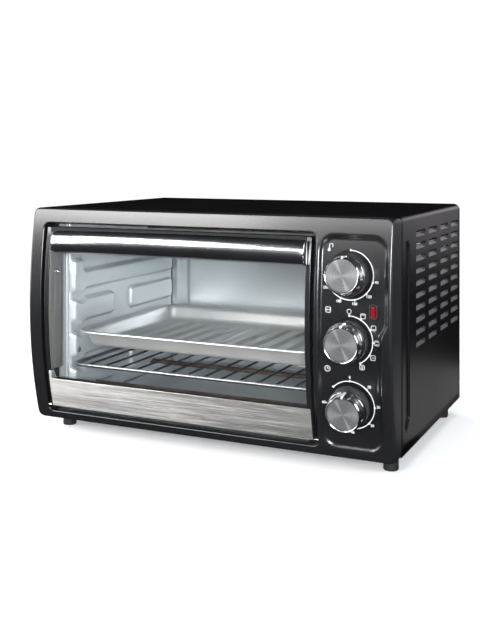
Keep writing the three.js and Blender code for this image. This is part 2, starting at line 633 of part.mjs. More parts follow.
/** A pan shape: upright at the rim and sloping in by run on its way down. */
function panShape(outline, top, depth, run) {
  const slope = { bevelEnabled: true, bevelSize: run, bevelThickness: depth, bevelOffset: -run,
    bevelSegments: 1, curveSegments: 4 };
  const both = prism(rounded(outline), 'z', top, top + 1, slope);
  return common(both, block(-400, 400, -100, 400, top - depth, top));
}

function bakingTray() {
  const { left, right, front, back, rim, depth } = TRAY;
  const lip = { left, right, bottom: front, top: back, radius: 16 };
  const wall = { left: left + 6, right: right - 6, bottom: front + 6, top: back - 6, radius: 16 };
  const outside = panShape(wall, rim, depth, 9);
  const flange = prism(rounded(lip), 'z', rim - 2, rim);
  const inner = {
    left: wall.left + SHEET, right: wall.right - SHEET, bottom: wall.bottom + SHEET, top: wall.top - SHEET,
    radius: wall.radius,
  };
  const inside = panShape(inner, rim + 0.01, depth - SHEET, 9);
  const ribs = [];
  for (let i = 0; i < TRAY_RIBS; i++) {
    const x = left + 32 + (right - left - 64) * i / (TRAY_RIBS - 1);
    ribs.push(block(x - 2, x + 2, front + 30, back - 30, rim - depth + 0.5, rim - depth + 2.4));
  }
  part('baking_tray', join(cut(join(outside, flange), inside), ribs), 'tray');
}

outerCover();
rearPanel();
basePan();
feet();
frontFascia();
controlBracket();
indicator();
frontFrame();
cavityShell();
elements();
wallScrews();
doorFrame();
doorTrim();
handle();
doorPins();
controls();
mains();
rack();
bakingTray();

// Stand the oven on its feet, with the middle of its footprint at the origin.
const middle = new THREE.Box3().setFromObject(oven).getCenter(new THREE.Vector3());
oven.position.set(0, -middle.y, FOOT_HEIGHT);

export default oven;
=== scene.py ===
"""A countertop toaster oven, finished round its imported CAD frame.

Shapes are worked out in millimetres in the drawing frame of the oven: Z = 0 is the cabinet's underside and
Y = 0 the joint between fascia and cabinet. piece() turns them into metres in the frame's own axes.
"""
import math

import bmesh
import bpy
import numpy as np
from bpy.props import FloatProperty, FloatVectorProperty, IntProperty, PointerProperty
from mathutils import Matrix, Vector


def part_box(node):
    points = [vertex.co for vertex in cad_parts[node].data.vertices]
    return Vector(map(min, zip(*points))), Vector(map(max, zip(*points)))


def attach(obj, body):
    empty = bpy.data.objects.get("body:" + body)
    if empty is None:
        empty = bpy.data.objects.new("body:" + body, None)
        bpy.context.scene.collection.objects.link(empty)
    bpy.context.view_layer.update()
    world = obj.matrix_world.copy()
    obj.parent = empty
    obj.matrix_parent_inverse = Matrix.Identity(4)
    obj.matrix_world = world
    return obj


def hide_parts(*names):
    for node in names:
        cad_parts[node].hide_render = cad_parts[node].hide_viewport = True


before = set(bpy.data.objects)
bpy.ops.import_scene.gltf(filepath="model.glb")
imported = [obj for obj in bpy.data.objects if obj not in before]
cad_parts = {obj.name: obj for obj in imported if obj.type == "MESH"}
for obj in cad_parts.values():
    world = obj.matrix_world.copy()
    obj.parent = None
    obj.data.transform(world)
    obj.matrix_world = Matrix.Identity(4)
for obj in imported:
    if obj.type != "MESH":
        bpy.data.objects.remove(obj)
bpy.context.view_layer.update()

bl_info = {
    "name": "Toaster Oven",
    "version": (1, 0, 0),
    "blender": (4, 5, 0),
    "location": "3D View > Sidebar > Oven",
    "description": "Builds the outside, door, knobs and cooking space of a toaster oven",
    "category": "Object",
}

MM = 1000.0
COVER_LOW, COVER_HIGH = (np.array(corner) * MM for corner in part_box("outer_cover"))
FASCIA_LOW, FASCIA_HIGH = (np.array(corner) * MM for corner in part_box("front_fascia"))
SHIFT = np.array([0.0, FASCIA_HIGH[1], COVER_LOW[2]])


def node_box(node):
    """A CAD node's lowest and highest corners, in drawing millimetres."""
    low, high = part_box(node)
    return np.array(low) * MM - SHIFT, np.array(high) * MM - SHIFT


HALF = COVER_HIGH[0]
HEIGHT = COVER_HIGH[2] - COVER_LOW[2]
DEPTH = COVER_HIGH[1] - SHIFT[1]


# ---------------------------------------------------------------- settings

def length(name, description, default):
    return FloatProperty(name=name, description=description, default=default, unit="LENGTH", precision=4)


def colour(name, description, default):
    return FloatVectorProperty(name=name, description=description, default=default, subtype="COLOR",
                               size=3, min=0.0, max=1.0)


class OvenSizes(bpy.types.PropertyGroup):
    bow_front: length("Bow", "How far the fascia stands out at its fullest height", 0.037)
    bow_height: length("Bow height", "Height of the fullest point above the cabinet's underside", 0.135)
    bow_fall_above: length("Fall above", "How far the bow falls back by the top edge", 0.011)
    bow_fall_below: length("Fall below", "How far the bow falls back by the bottom edge", 0.019)
    fascia_edge: length("Fascia edge", "Radius of the fascia's rolled outer edge", 0.0028)
    corner: length("Cabinet corner", "Radius of the cabinet's long top corners", 0.008)
    panel_sink: length("Panel sink", "How deep the control panel lies in the fascia", 0.0028)
    dial_sink: length("Dial sink", "Depth of the round well behind each knob", 0.0006)
    pad_depth: length("Pad depth", "How far the shelf pads are pressed into the cooking space", 0.006)
    handle_arch: length("Handle arch", "How much higher the handle's middle is than its ends", 0.0022)
    flutes: IntProperty(name="Flutes", description="Grip flutes round a knob's skirt", default=72, min=12)


class OvenColours(bpy.types.PropertyGroup):
    gloss_black: colour("Fascia black", "Moulded fascia, stiles and knob skirts", (0.0062, 0.0062, 0.007))
    cover_black: colour("Cover black", "Powder-coated cabinet", (0.002, 0.0016, 0.0022))
    sheet: colour("Inner sheet", "Aluminised sheet of the cooking space", (0.66, 0.705, 0.725))
    stainless: colour("Stainless", "Brushed door trim", (0.56, 0.545, 0.53))
    chrome: colour("Chrome", "Handle bar and knob caps", (0.80, 0.81, 0.83))
    tray: colour("Tray", "Satin aluminium baking tray", (0.64, 0.635, 0.63))
    rod: colour("Heating rod", "Heat-browned rod", (0.105, 0.062, 0.042))
    lens: colour("Lamp", "Red power lamp", (0.2, 0.002, 0.006))
    print: colour("Print", "Dial markings", (0.58, 0.58, 0.60))


def sizes():
    """The size settings, in millimetres where they are lengths."""
    group = bpy.context.scene.oven_sizes
    names = OvenSizes.__annotations__
    return {name: getattr(group, name) * (1 if name == "flutes" else MM) for name in names}


# ---------------------------------------------------------------- shapes as arrays

def bow(z):
    """Front of the fascia: Y falls back with the square of the distance from the fullest height, on a
    flatter parabola above that height than below."""
    s = sizes()
    above = z > s["bow_height"]
    reach = np.where(above, HEIGHT - s["bow_height"], s["bow_height"])
    fall = np.where(above, s["bow_fall_above"], s["bow_fall_below"])
    return fall * ((z - s["bow_height"]) / reach) ** 2 - s["bow_front"]


def step(low, high, x):
    """Smooth step from 0 at low to 1 at high, either way round: 3t^2 - 2t^3."""
    t = np.clip((x - low) / (high - low), 0.0, 1.0)
    return t * t * (3 - 2 * t)


def box_distance(x, z, x0, x1, z0, z1, r):
    """Signed distance to a rectangle with corners of radius r, negative inside."""
    dx = np.abs(x - (x0 + x1) / 2) - (x1 - x0) / 2 + r
    dz = np.abs(z - (z0 + z1) / 2) - (z1 - z0) / 2 + r
    outside = np.hypot(np.maximum(dx, 0), np.maximum(dz, 0))
    return outside + np.minimum(np.maximum(dx, dz), 0) - r


def blend_min(a, b, k):
    """Smooth minimum of two distances, rounding where they meet by about k."""
    h = np.clip(0.5 + 0.5 * (b - a) / k, 0, 1)
    return b * (1 - h) + a * h - k * h * (1 - h)


def loop(x0, x1, z0, z1, radius, grow=0.0, counts=(24, 24, 24, 24), bend=8):
    """A closed round-cornered rectangle as (n, 2): right side up, top leftwards, left side down, bottom
    rightwards, with a quarter arc of bend points at each corner; grow moves every side outwards."""
    x0, x1, z0, z1 = x0 - grow, x1 + grow, z0 - grow, z1 + grow
    r = max(radius + grow, 0.05)
    centres = [(x1 - r, z1 - r), (x0 + r, z1 - r), (x0 + r, z0 + r), (x1 - r, z0 + r)]
    arcs = []
    for quarter, (cx, cz) in enumerate(centres):
        a = math.pi / 2 * (quarter + np.linspace(0, 1, bend))
        arcs.append(np.stack([cx + r * np.cos(a), cz + r * np.sin(a)], 1))
    runs = []
    for quarter, count in enumerate(counts):
        start, end = arcs[quarter - 1][-1], arcs[quarter][0]
        t = np.linspace(0, 1, count + 2)[1:-1, None]
        runs += [start + (end - start) * t, arcs[quarter]]
    return np.concatenate(runs)


def fan(profile, turns, axis_point, axis, up):
    """A profile of (radius, height) spun round an axis in a number of turns: point = axis_point +
    height * axis + radius * (cos a * side + sin a * up)."""
    profile = np.array(profile, float)
    a = np.linspace(0, 2 * math.pi, turns, endpoint=False)
    axis = np.array(axis, float) / np.linalg.norm(axis)
    up = np.array(up, float) - axis * np.dot(up, axis)
    up /= np.linalg.norm(up)
    side = np.cross(up, axis)
    ring = np.cos(a)[:, None] * side + np.sin(a)[:, None] * up
    return np.array(axis_point) + profile[:, 1, None, None] * axis + profile[:, 0, None, None] * ring


def tube(path, radius, sides=10, up=(0, 0, 1), closed=False):
    """A round section carried along a path: point = path + radius * (cos a * side + sin a * top)."""
    path = np.array(path, float)
    ends = np.roll(path, -1, 0) - np.roll(path, 1, 0) if closed else np.gradient(path, axis=0)
    tangent = ends / np.linalg.norm(ends, axis=1)[:, None]
    side = np.cross(tangent, np.array(up, float))
    side /= np.linalg.norm(side, axis=1)[:, None]
    top = np.cross(side, tangent)
    a = np.linspace(0, 2 * math.pi, sides, endpoint=False)
    radius = np.broadcast_to(radius, (len(path),))[:, None, None]
    ring = np.cos(a)[None, :, None] * side[:, None] + np.sin(a)[None, :, None] * top[:, None]
    return path[:, None] + radius * ring


def quads(rows, columns, wrap_rows=False, wrap_columns=True):
    """Corner numbers of every cell of a grid, as (n, 4)."""
    i = np.arange(rows if wrap_rows else rows - 1)[:, None]
    j = np.arange(columns if wrap_columns else columns - 1)[None, :]
    i2, j2 = (i + 1) % rows, (j + 1) % columns
    corners = [i * columns + j, i * columns + j2, i2 * columns + j2, i2 * columns + j]
    return np.stack(np.broadcast_arrays(*corners), -1).reshape(-1, 4)


class Shape:
    """Points and faces gathered from one or more grids, in drawing millimetres."""

    def __init__(self):
        self.points, self.faces, self.count = [], [], 0

    def grid(self, points, wrap_rows=False, wrap_columns=True, caps=False, keep=None):
        rows, columns = points.shape[:2]
        cells = quads(rows, columns, wrap_rows, wrap_columns)
        if keep is not None:
            cells = cells[keep(points.reshape(-1, 3)[cells].mean(1))]
        self.faces += (cells + self.count).tolist()
        if caps:
            last = (rows - 1) * columns + np.arange(columns)
            self.faces.append((self.count + np.arange(columns)[::-1]).tolist())
            self.faces.append((self.count + last).tolist())
        self.points.append(points.reshape(-1, 3))
        self.count += rows * columns
        return self

    def slab(self, ring, front, back, edge=0.6, rings=5, normal="y"):
        """A plate: outline points (n, 2) filled to their middle in rings, rounded by edge at both faces.
        front and back are functions of the two outline axes; normal names the third axis."""
        centre = (ring.max(0) + ring.min(0)) / 2
        size = (ring.max(0) - ring.min(0)) / 2
        inner = centre + (ring - centre) * (1 - edge / size)
        fills = [centre + (inner - centre) * t for t in np.linspace(0, 1, rings + 1)]
        angles = np.linspace(0, math.pi / 2, 5)
        levels = [(p, front, 0.0) for p in fills]
        levels += [(inner + (ring - inner) * math.sin(a), front, edge * (1 - math.cos(a)))
                   for a in angles[1:]]
        levels += [(inner + (ring - inner) * math.sin(a), back, -edge * (1 - math.cos(a)))
                   for a in angles[:0:-1]]
        levels += [(p, back, 0.0) for p in fills[::-1]]
        rows = []
        for outline, height, offset in levels:
            a, b = outline.T
            third = np.broadcast_to(height(a, b) + offset, len(outline))
            order = {"y": (a, third, b), "x": (third, a, b), "z": (a, b, third)}[normal]
            rows.append(np.stack(order, 1))
        return self.grid(np.array(rows))


def raised(ring, height, normal="y"):
    """Outline points (n, 2) as (n, 3), all at one height along the axis that normal names."""
    level = np.full(len(ring), float(height))
    order = (ring[:, 0], level, ring[:, 1]) if normal == "y" else (ring[:, 0], ring[:, 1], level)
    return np.stack(order, 1)


def flat(value):
    """A height function that gives the same value everywhere."""
    return lambda a, b: np.full(np.shape(a), float(value))


# ---------------------------------------------------------------- pieces

def piece(name, shape, finish, body, replaces=(), sharp=35.0, outward=None, merge=0.002):
    """Makes a mesh object from a Shape: doubles merged, faces turned outwards, smooth but for sharp edges.
    An open sheet gives outward, a point behind it that its faces turn away from."""
    points = (np.concatenate(shape.points) + SHIFT) / MM
    mesh = bpy.data.meshes.new(name)
    mesh.from_pydata(points.tolist(), [], shape.faces)
    work = bmesh.new()
    work.from_mesh(mesh)
    bmesh.ops.remove_doubles(work, verts=work.verts, dist=merge / MM)
    bmesh.ops.dissolve_degenerate(work, edges=work.edges, dist=1e-7)
    bmesh.ops.recalc_face_normals(work, faces=work.faces)
    if outward is not None:
        behind = (np.array(outward) + SHIFT) / MM
        away = sum((face.calc_center_median() - type(face.normal)(behind)).dot(face.normal) * face.calc_area()
                   for face in work.faces)
        if away < 0:
            bmesh.ops.reverse_faces(work, faces=work.faces)
    work.to_mesh(mesh)
    work.free()
    mesh.polygons.foreach_set("use_smooth", np.ones(len(mesh.polygons), bool))
    mesh.set_sharp_from_angle(angle=math.radians(sharp))
    mesh.materials.append(finish)
    made = bpy.data.objects.new(name, mesh)
    bpy.context.scene.collection.objects.link(made)
    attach(made, body)
    if replaces:
        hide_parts(*replaces)
    return made


def thicken(made, millimetres, offset=-1.0, rear=None):
    """Gives an open sheet its thickness; rear is the finish of the side that faces away."""
    layer = made.modifiers.new("sheet", "SOLIDIFY")
    if rear is not None:
        made.data.materials.append(rear)
        layer.material_offset = 1
    layer.thickness = millimetres / MM
    layer.offset = offset
    return made


# ---------------------------------------------------------------- shader maths

class Wire:
    """A node's output socket, with arithmetic that adds Math nodes."""

    def __init__(self, paint, socket):
        self.paint, self.socket = paint, socket

    def __add__(self, other):
        return self.paint.math("ADD", self, other)

    __radd__ = __add__

    def __mul__(self, other):
        return self.paint.math("MULTIPLY", self, other)

    __rmul__ = __mul__

    def __sub__(self, other):
        return self.paint.math("SUBTRACT", self, other)

    def __rsub__(self, other):
        return self.paint.math("SUBTRACT", other, self)

    def __pow__(self, other):
        return self.paint.math("POWER", self, other)


class Paint:
    """Builds one node tree: a new material's, or the world's."""

    def __init__(self, name, world=None):
        self.material = world or bpy.data.materials.new(name)
        self.material.use_nodes = True
        self.tree = self.material.node_tree
        self.tree.nodes.clear()

    def node(self, kind, settings=None, inputs=None, output=0):
        made = self.tree.nodes.new(kind)
        for key, value in (settings or {}).items():
            if key == "stops":
                ramp = made.color_ramp
                for position, tint in value[2:]:
                    ramp.elements.new(position).color = (*tint, 1)
                for element, (position, tint) in zip(ramp.elements, sorted(value)):
                    element.position, element.color = position, (*tint, 1)
            else:
                setattr(made, key, value)
        pairs = inputs.items() if isinstance(inputs, dict) else enumerate(inputs or [])
        for key, value in pairs:
            if isinstance(value, Wire):
                self.tree.links.new(value.socket, made.inputs[key])
            else:
                made.inputs[key].default_value = value
        return Wire(self, made.outputs[output]) if made.outputs else None

    def math(self, operation, *values):
        return self.node("ShaderNodeMath", {"operation": operation}, list(values))

    def axis(self, where, number):
        """One of a vector's three parts."""
        return self.node("ShaderNodeSeparateXYZ", inputs=[where], output=number)

    def place(self, scale=(1, 1, 1), centre=(0, 0, 0)):
        """Object coordinates moved so that centre is the origin, then scaled."""
        where = self.node("ShaderNodeTexCoord", output="Object")
        moved = self.node("ShaderNodeVectorMath", {"operation": "SUBTRACT"}, [where, centre])
        return self.node("ShaderNodeMapping", inputs={"Vector": moved, "Scale": scale})

    def noise(self, scale, detail=3.0, stretch=(1, 1, 1), roughness=0.5, centre=(0, 0, 0)):
        return self.node("ShaderNodeTexNoise", inputs={
            "Vector": self.place(stretch, centre), "Scale": scale, "Detail": detail, "Roughness": roughness})

    def mix(self, amount, first, second):
        return self.node("ShaderNodeMix", {"data_type": "RGBA"},
                         {"Factor": amount, 6: (*first, 1) if isinstance(first, tuple) else first,
                          7: (*second, 1) if isinstance(second, tuple) else second}, output=2)

    def bump(self, height, strength, distance):
        return self.node("ShaderNodeBump", inputs={
            "Strength": strength, "Distance": distance, "Height": height})

    def finish(self, inputs):
        surface = self.node("ShaderNodeBsdfPrincipled", inputs=inputs)
        self.node("ShaderNodeOutputMaterial", inputs={"Surface": surface})
        return self.material


def shade(value, factor):
    """A colour times factor, no part of it above 1."""
    return tuple(min(1.0, c * factor) for c in value)


FINISHES = {}
SIDE_WALL = 0.2288  # metres from the middle to where the fascia's side walls begin


def gloss_black(name, colour_value, roughness, grain=0.00002, coat=0.0):
    """Moulded black plastic: faint flow marks in the colour, fine grain in the surface; the outer side
    walls, drawn off the mould, are duller."""
    p = Paint(name)
    across = p.axis(p.place(), 0)
    walls = p.math("GREATER_THAN", across * across, SIDE_WALL ** 2)
    cloud = p.noise(9.0, 2.0)
    grains = p.noise(900.0, 2.0)
    return p.finish({
        "Base Color": p.mix(cloud, shade(colour_value, 0.85), shade(colour_value, 1.2)),
        "Roughness": cloud * 0.05 + (roughness - 0.025) + walls * 0.2,
        "Coat Weight": (1.0 - walls) * coat,
        "Coat Roughness": 0.12,
        "Normal": p.bump(grains, 0.04, grain),
    })


def powder_coat(name, colour_value):
    """Powder coat on steel: orange peel, with slow changes of sheen."""
    p = Paint(name)
    peel = p.noise(720.0, 2.0)
    cloud = p.noise(7.0, 3.0)
    return p.finish({
        "Base Color": p.mix(cloud, shade(colour_value, 0.88), shade(colour_value, 1.15)),
        "Roughness": cloud * 0.08 + 0.30,
        "Specular IOR Level": 0.4,
        "Normal": p.bump(peel, 0.4, 0.00004),
    })


def bright_sheet(name, colour_value, metallic, roughness):
    """Aluminised sheet: a very fine spangle and rolling streaks, brighter where it is worn by wiping."""
    p = Paint(name)
    spangle = p.noise(420.0, 4.0, roughness=0.65)
    streak = p.noise(60.0, 3.0, stretch=(0.4, 0.4, 6.0))
    cloud = p.noise(14.0, 2.0)
    worn = cloud * 0.6 + streak * 0.4
    return p.finish({
        "Base Color": p.mix(worn, shade(colour_value, 0.9), shade(colour_value, 1.1)),
        "Metallic": metallic,
        "Roughness": spangle * 0.1 + (roughness - 0.05) + streak * 0.04,
        "Normal": p.bump(spangle, 0.25, 0.00003),
    })


def brushed_steel(name, colour_value):
    """Stainless steel brushed along X: long hair lines in the colour, the roughness and the surface, and a
    painted sheen in the colour: painted shade that darkens the strip towards +X."""
    p = Paint(name)
    hair = p.noise(1.0, 4.0, stretch=(16.0, 720.0, 720.0), roughness=0.8)
    broad = p.noise(1.0, 2.0, stretch=(3.0, 190.0, 190.0))
    lines = hair * 0.85 + broad * 0.15
    # Painted sheen: the hair lines' tone, with painted shade growing towards +X.
    sheen = (lines - 0.36) * 3.6 - p.axis(p.place(), 0) * 2.6 - 0.22
    return p.finish({
        "Base Color": p.mix(sheen, shade(colour_value, 0.4), shade(colour_value, 1.2)),
        "Metallic": 0.72,
        "Roughness": lines * 0.2 + 0.36,
        "Anisotropic": 0.6,
        "Anisotropic Rotation": 0.25,
        "Normal": p.bump(hair, 0.25, 0.00004),
    })


def polished(name, colour_value, roughness=0.06):
    """Chrome plate: nearly a mirror, with faint haze and handling marks."""
    p = Paint(name)
    haze = p.noise(38.0, 4.0)
    ripple = p.noise(60.0, 1.0)
    return p.finish({
        "Base Color": p.mix(haze, shade(colour_value, 0.94), shade(colour_value, 1.04)),
        "Metallic": 1.0,
        "Roughness": haze * 0.05 + (roughness - 0.02),
        "Normal": p.bump(ripple, 0.04, 0.0002),
    })


def spun_metal(name, colour_value, centre):
    """A turned disc: rings round its own centre, cut by a fine tool, with a painted highlight in the colour:
    a narrow bright band through the centre and weaker bands to its sides.
    """
    p = Paint(name)
    where = p.place(centre=tuple(centre))
    x, z = p.axis(where, 0), p.axis(where, 2)
    radius = p.math("SQRT", x * x + z * z)
    rings = p.node("ShaderNodeTexNoise", {"noise_dimensions": "1D"},
                   {"W": radius, "Scale": 1300.0, "Detail": 3.0, "Roughness": 0.75})
    broad = p.node("ShaderNodeTexNoise", {"noise_dimensions": "1D"},
                   {"W": radius, "Scale": 560.0, "Detail": 2.0})
    angle = p.math("ARCTAN2", z, x)
    # Painted highlight: a narrow bright band through the centre and weaker side bands, painted into the
    # colour.
    painted_highlight = p.math("SINE", angle * 2.0 - 2.44) * 0.5 + 0.5
    painted_side_highlight = p.math("SINE", angle * 2.0 + 1.3) * 0.5 + 0.5
    # The turned rings' own tone plus the painted highlight.
    sheen = (painted_highlight ** 60.0) * 0.3 + (painted_side_highlight ** 5.0) * 0.22 + rings * 0.5 + (broad - 0.45) * 0.25 - 0.06
    return p.finish({
        "Base Color": p.mix(sheen, shade(colour_value, 0.12), shade(colour_value, 1.6)),
        "Metallic": 0.4,
        "Roughness": broad * 0.12 + 0.3,
        "Normal": p.bump(rings, 0.5, 0.00005),
    })


def tray_metal(name, colour_value):
    """Satin aluminium: drawn streaks across the pan and a soft cloudiness."""
    p = Paint(name)
    streak = p.noise(1.0, 3.0, stretch=(30.0, 900.0, 900.0))
    cloud = p.noise(22.0, 3.0)
    return p.finish({
        "Base Color": p.mix(cloud, shade(colour_value, 0.86), shade(colour_value, 1.12)),
        "Metallic": 0.7,
        "Roughness": streak * 0.12 + cloud * 0.1 + 0.27,
        "Normal": p.bump(streak, 0.2, 0.00004),
    })


def heated_rod(name, colour_value):
    """A sheathed rod browned by heat: blue-grey and tan patches along its length."""
    p = Paint(name)
    patch = p.noise(28.0, 4.0, stretch=(1.0, 3.0, 3.0))
    stops = [(0.2, shade(colour_value, 0.5)), (0.9, (0.30, 0.20, 0.14)), (0.5, colour_value),
             (0.68, (0.17, 0.125, 0.10))]
    ramp = p.node("ShaderNodeValToRGB", {"stops": stops}, [patch])
    return p.finish({
        "Base Color": ramp,
        "Metallic": 0.45,
        "Roughness": patch * 0.25 + 0.36,
        "Normal": p.bump(p.noise(900.0, 2.0), 0.3, 0.00004),
    })


def matt(name, colour_value, roughness, grain_scale=700.0, distance=0.00008):
    """A dull moulded or fired surface with fine grain."""
    p = Paint(name)
    grain = p.noise(grain_scale, 3.0)
    cloud = p.noise(30.0, 2.0)
    return p.finish({
        "Base Color": p.mix(cloud, shade(colour_value, 0.86), shade(colour_value, 1.1)),
        "Roughness": cloud * 0.1 + roughness - 0.05,
        "Specular IOR Level": 0.35,
        "Normal": p.bump(grain, 0.4, distance),
    })


def window_glass(name, tint, alpha):
    """Clear glass: mostly see-through, with its own gloss and a trace of haze."""
    p = Paint(name)
    haze = p.noise(16.0, 2.0)
    made = p.finish({
        "Base Color": (*tint, 1),
        "Roughness": haze * 0.03 + 0.01,
        "Alpha": haze * 0.02 + alpha,
        "Specular IOR Level": 0.6,
    })
    made.surface_render_method = "BLENDED"
    return made


def lamp_lens(name, colour_value):
    """Red ribbed lens: deeper at the edges, with a faint glow of its own."""
    p = Paint(name)
    ribs = p.noise(1.0, 1.0, stretch=(900.0, 40.0, 160.0))
    tone = p.mix(ribs, shade(colour_value, 0.45), shade(colour_value, 1.25))
    return p.finish({
        "Base Color": tone,
        "Emission Color": tone,
        "Emission Strength": 0.05,
        "Roughness": ribs * 0.1 + 0.08,
        "Coat Weight": 0.8,
        "Coat Roughness": 0.05,
        "Normal": p.bump(ribs, 0.4, 0.0002),
    })


def finishes():
    """Makes every finish once, from the colour settings."""
    if FINISHES:
        return FINISHES
    c = {name: tuple(getattr(bpy.context.scene.oven_colours, name)) for name in OvenColours.__annotations__}
    FINISHES.update({
        "gloss_black": gloss_black("gloss_black", c["gloss_black"], 0.25, 0.000004, 0.15),
        "dull_black": gloss_black("dull_black", c["gloss_black"], 0.42, 0.00001),
        # Door rails: the fascia black painted darker as painted shade for the gap round the door, and made
        # matt.
        "matt_black": matt("matt_black", shade(c["gloss_black"], 0.7), 0.75, 900.0, 0.00003),
        "powder_coat": powder_coat("powder_coat", c["cover_black"]),
        "inner_sheet": bright_sheet("inner_sheet", c["sheet"], 0.4, 0.32),
        "mirror_sheet": bright_sheet("mirror_sheet", shade(c["sheet"], 0.9), 0.7, 0.33),
        "stainless": brushed_steel("stainless", c["stainless"]),
        "chrome": polished("chrome", c["chrome"]),
        "handle_chrome": polished("handle_chrome", shade(c["chrome"], 0.95), 0.19),
        "cap_chrome": polished("cap_chrome", shade(c["chrome"], 1.08), 0.16),
        "satin_liner": bright_sheet("satin_liner", (0.24, 0.232, 0.226), 0.55, 0.34),
        "wire_chrome": polished("wire_chrome", shade(c["chrome"], 0.5), 0.36),
        # Cross wires: the rack's chrome painted darker as painted shade.
        "wire_dark": polished("wire_dark", shade(c["chrome"], 0.3), 0.25),
        "tray_metal": tray_metal("tray_metal", c["tray"]),
        "heated_rod": heated_rod("heated_rod", c["rod"]),
        "ceramic": matt("ceramic", (0.74, 0.70, 0.62), 0.5),
        "rubber": matt("rubber", (0.016, 0.015, 0.017), 0.5),
        "print": matt("print", c["print"], 0.45, 1200.0, 0.00002),
        "clear": matt("clear", (0.03, 0.032, 0.032), 0.14, 90.0, 0.00004),
        "glass": window_glass("glass", (0.02, 0.025, 0.026), 0.05),
        "lens": lamp_lens("lens", c["lens"]),
        # Outer sides of the cooking-space sheets: the same sheet painted dark as painted shade for the shaded
        # space between cooking space and cabinet.
        "dull_steel": bright_sheet("dull_steel", (0.09, 0.092, 0.095), 0.5, 0.5),
        "zinc": bright_sheet("zinc", (0.2, 0.2, 0.205), 0.6, 0.45),
    })
    return FINISHES


# ---------------------------------------------------------------- the control panel's surface

OPENING = dict(x0=-212.0, x1=143.5, z0=7.0, z1=239.0, radius=7.0)
PANEL = dict(x0=150.0, x1=223.5, z0=10.0, z1=236.0, radius=16.0)
PANEL_STEP = 7.5
DIAL_X = 183.0
DIALS = {"temperature": 196.0, "function": 127.5, "timer": 58.0}
WELL_RADIUS = 24.2
LAMP = dict(x0=205.0, x1=214.6, z0=151.4, z1=167.6, radius=3.6)


def sink(x, z):
    """How far the panel lies behind the bow: a smooth step across the recess outline, whose right edge
    steps in below the lamp, plus a shallow round well behind each knob."""
    s = sizes()
    narrow = PANEL_STEP * step(148.0, 128.0, z) * step(186.0, 212.0, x)
    edge = box_distance(x + narrow, z, PANEL["x0"], PANEL["x1"], PANEL["z0"], PANEL["z1"], PANEL["radius"])
    depth = s["panel_sink"] * step(2.8, -2.6, edge)
    for height in DIALS.values():
        away = np.hypot(x - DIAL_X, z - height) - WELL_RADIUS
        depth = depth + s["dial_sink"] * step(0.7, -0.7, away)
    return depth


def lean(z):
    """Angle by which the panel leans back at a height."""
    return math.atan(float(bow(np.array(z + 1.0)) - bow(np.array(z - 1.0))) / 2)


def dial_axes(z):
    """Centre on the bow, the outward direction and the upward direction in the panel at a dial."""
    t = lean(z)
    centre = np.array([DIAL_X, float(bow(np.array(z))), z])
    return centre, np.array([0, -math.cos(t), math.sin(t)]), np.array([0, math.sin(t), math.cos(t)])


# ---------------------------------------------------------------- operators

class OvenOperator(bpy.types.Operator):
    """Builds one group of pieces from the finishes and the size settings."""
    bl_options = {"REGISTER", "UNDO"}

    def execute(self, context):
        self.build(finishes(), sizes())
        return {"FINISHED"}


class OVEN_OT_fascia(OvenOperator):
    """Bowed moulded front: one closed ring surface from the door opening's jamb, over the front and its
    rolled edge, round the back of the wall and home"""
    bl_idname = "oven.fascia"
    bl_label = "Fascia"

    def build(self, f, s):
        low, high = node_box("front_fascia")
        counts = (170, 60, 60, 60)
        outer = dict(x0=low[0], x1=high[0], z0=low[2], z1=high[2], radius=s["corner"])
        edge, lip, wall, jamb, joint = s["fascia_edge"], 2.2, 3.0, 2.0, 0.3
        levels = []

        def add(ring, back, sunk=True):
            y = bow(ring[:, 1]) + (sink(ring[:, 0], ring[:, 1]) if sunk else 0.0)
            y = back(y) if callable(back) else np.full(len(ring), back)
            levels.append(np.stack([ring[:, 0], y, ring[:, 1]], 1))

        def around(rectangle, grow):
            return loop(**rectangle, grow=grow, counts=counts)

        start, end = around(OPENING, lip), around(outer, -edge)
        for t in np.linspace(0, 1, 112):
            add(start + (end - start) * t, lambda y: y)
        for a in np.linspace(0, math.pi / 2, 8)[1:]:
            add(around(outer, -edge * (1 - math.sin(a))), lambda y, a=a: y + edge * (1 - math.cos(a)), False)
        for share in (0.5, 1.0):
            add(around(outer, 0), lambda y, share=share: (y + edge) * (1 - share), False)
        add(around(outer, -wall), 0.0)
        add(around(outer, -wall), lambda y: y + wall, False)
        start, end = around(outer, -wall), around(OPENING, jamb)
        for t in np.linspace(0, 1, 14)[1:]:
            add(start + (end - start) * t, lambda y: y + wall)
        add(around(OPENING, jamb), -joint)
        add(around(OPENING, 0), -joint)
        for share in (0.35, 0.7, 1.0):
            add(around(OPENING, 0), lambda y, share=share: (y + lip) * share - joint * (1 - share), False)
        for a in np.linspace(math.pi / 2, 0, 6)[1:-1]:
            add(around(OPENING, lip * (1 - math.sin(a))), lambda y, a=a: y + lip * (1 - math.cos(a)), False)
        shape = Shape().grid(np.array(levels), wrap_rows=True)
        piece("fascia_shell", shape, f["gloss_black"], "root", ["front_fascia"], 50)


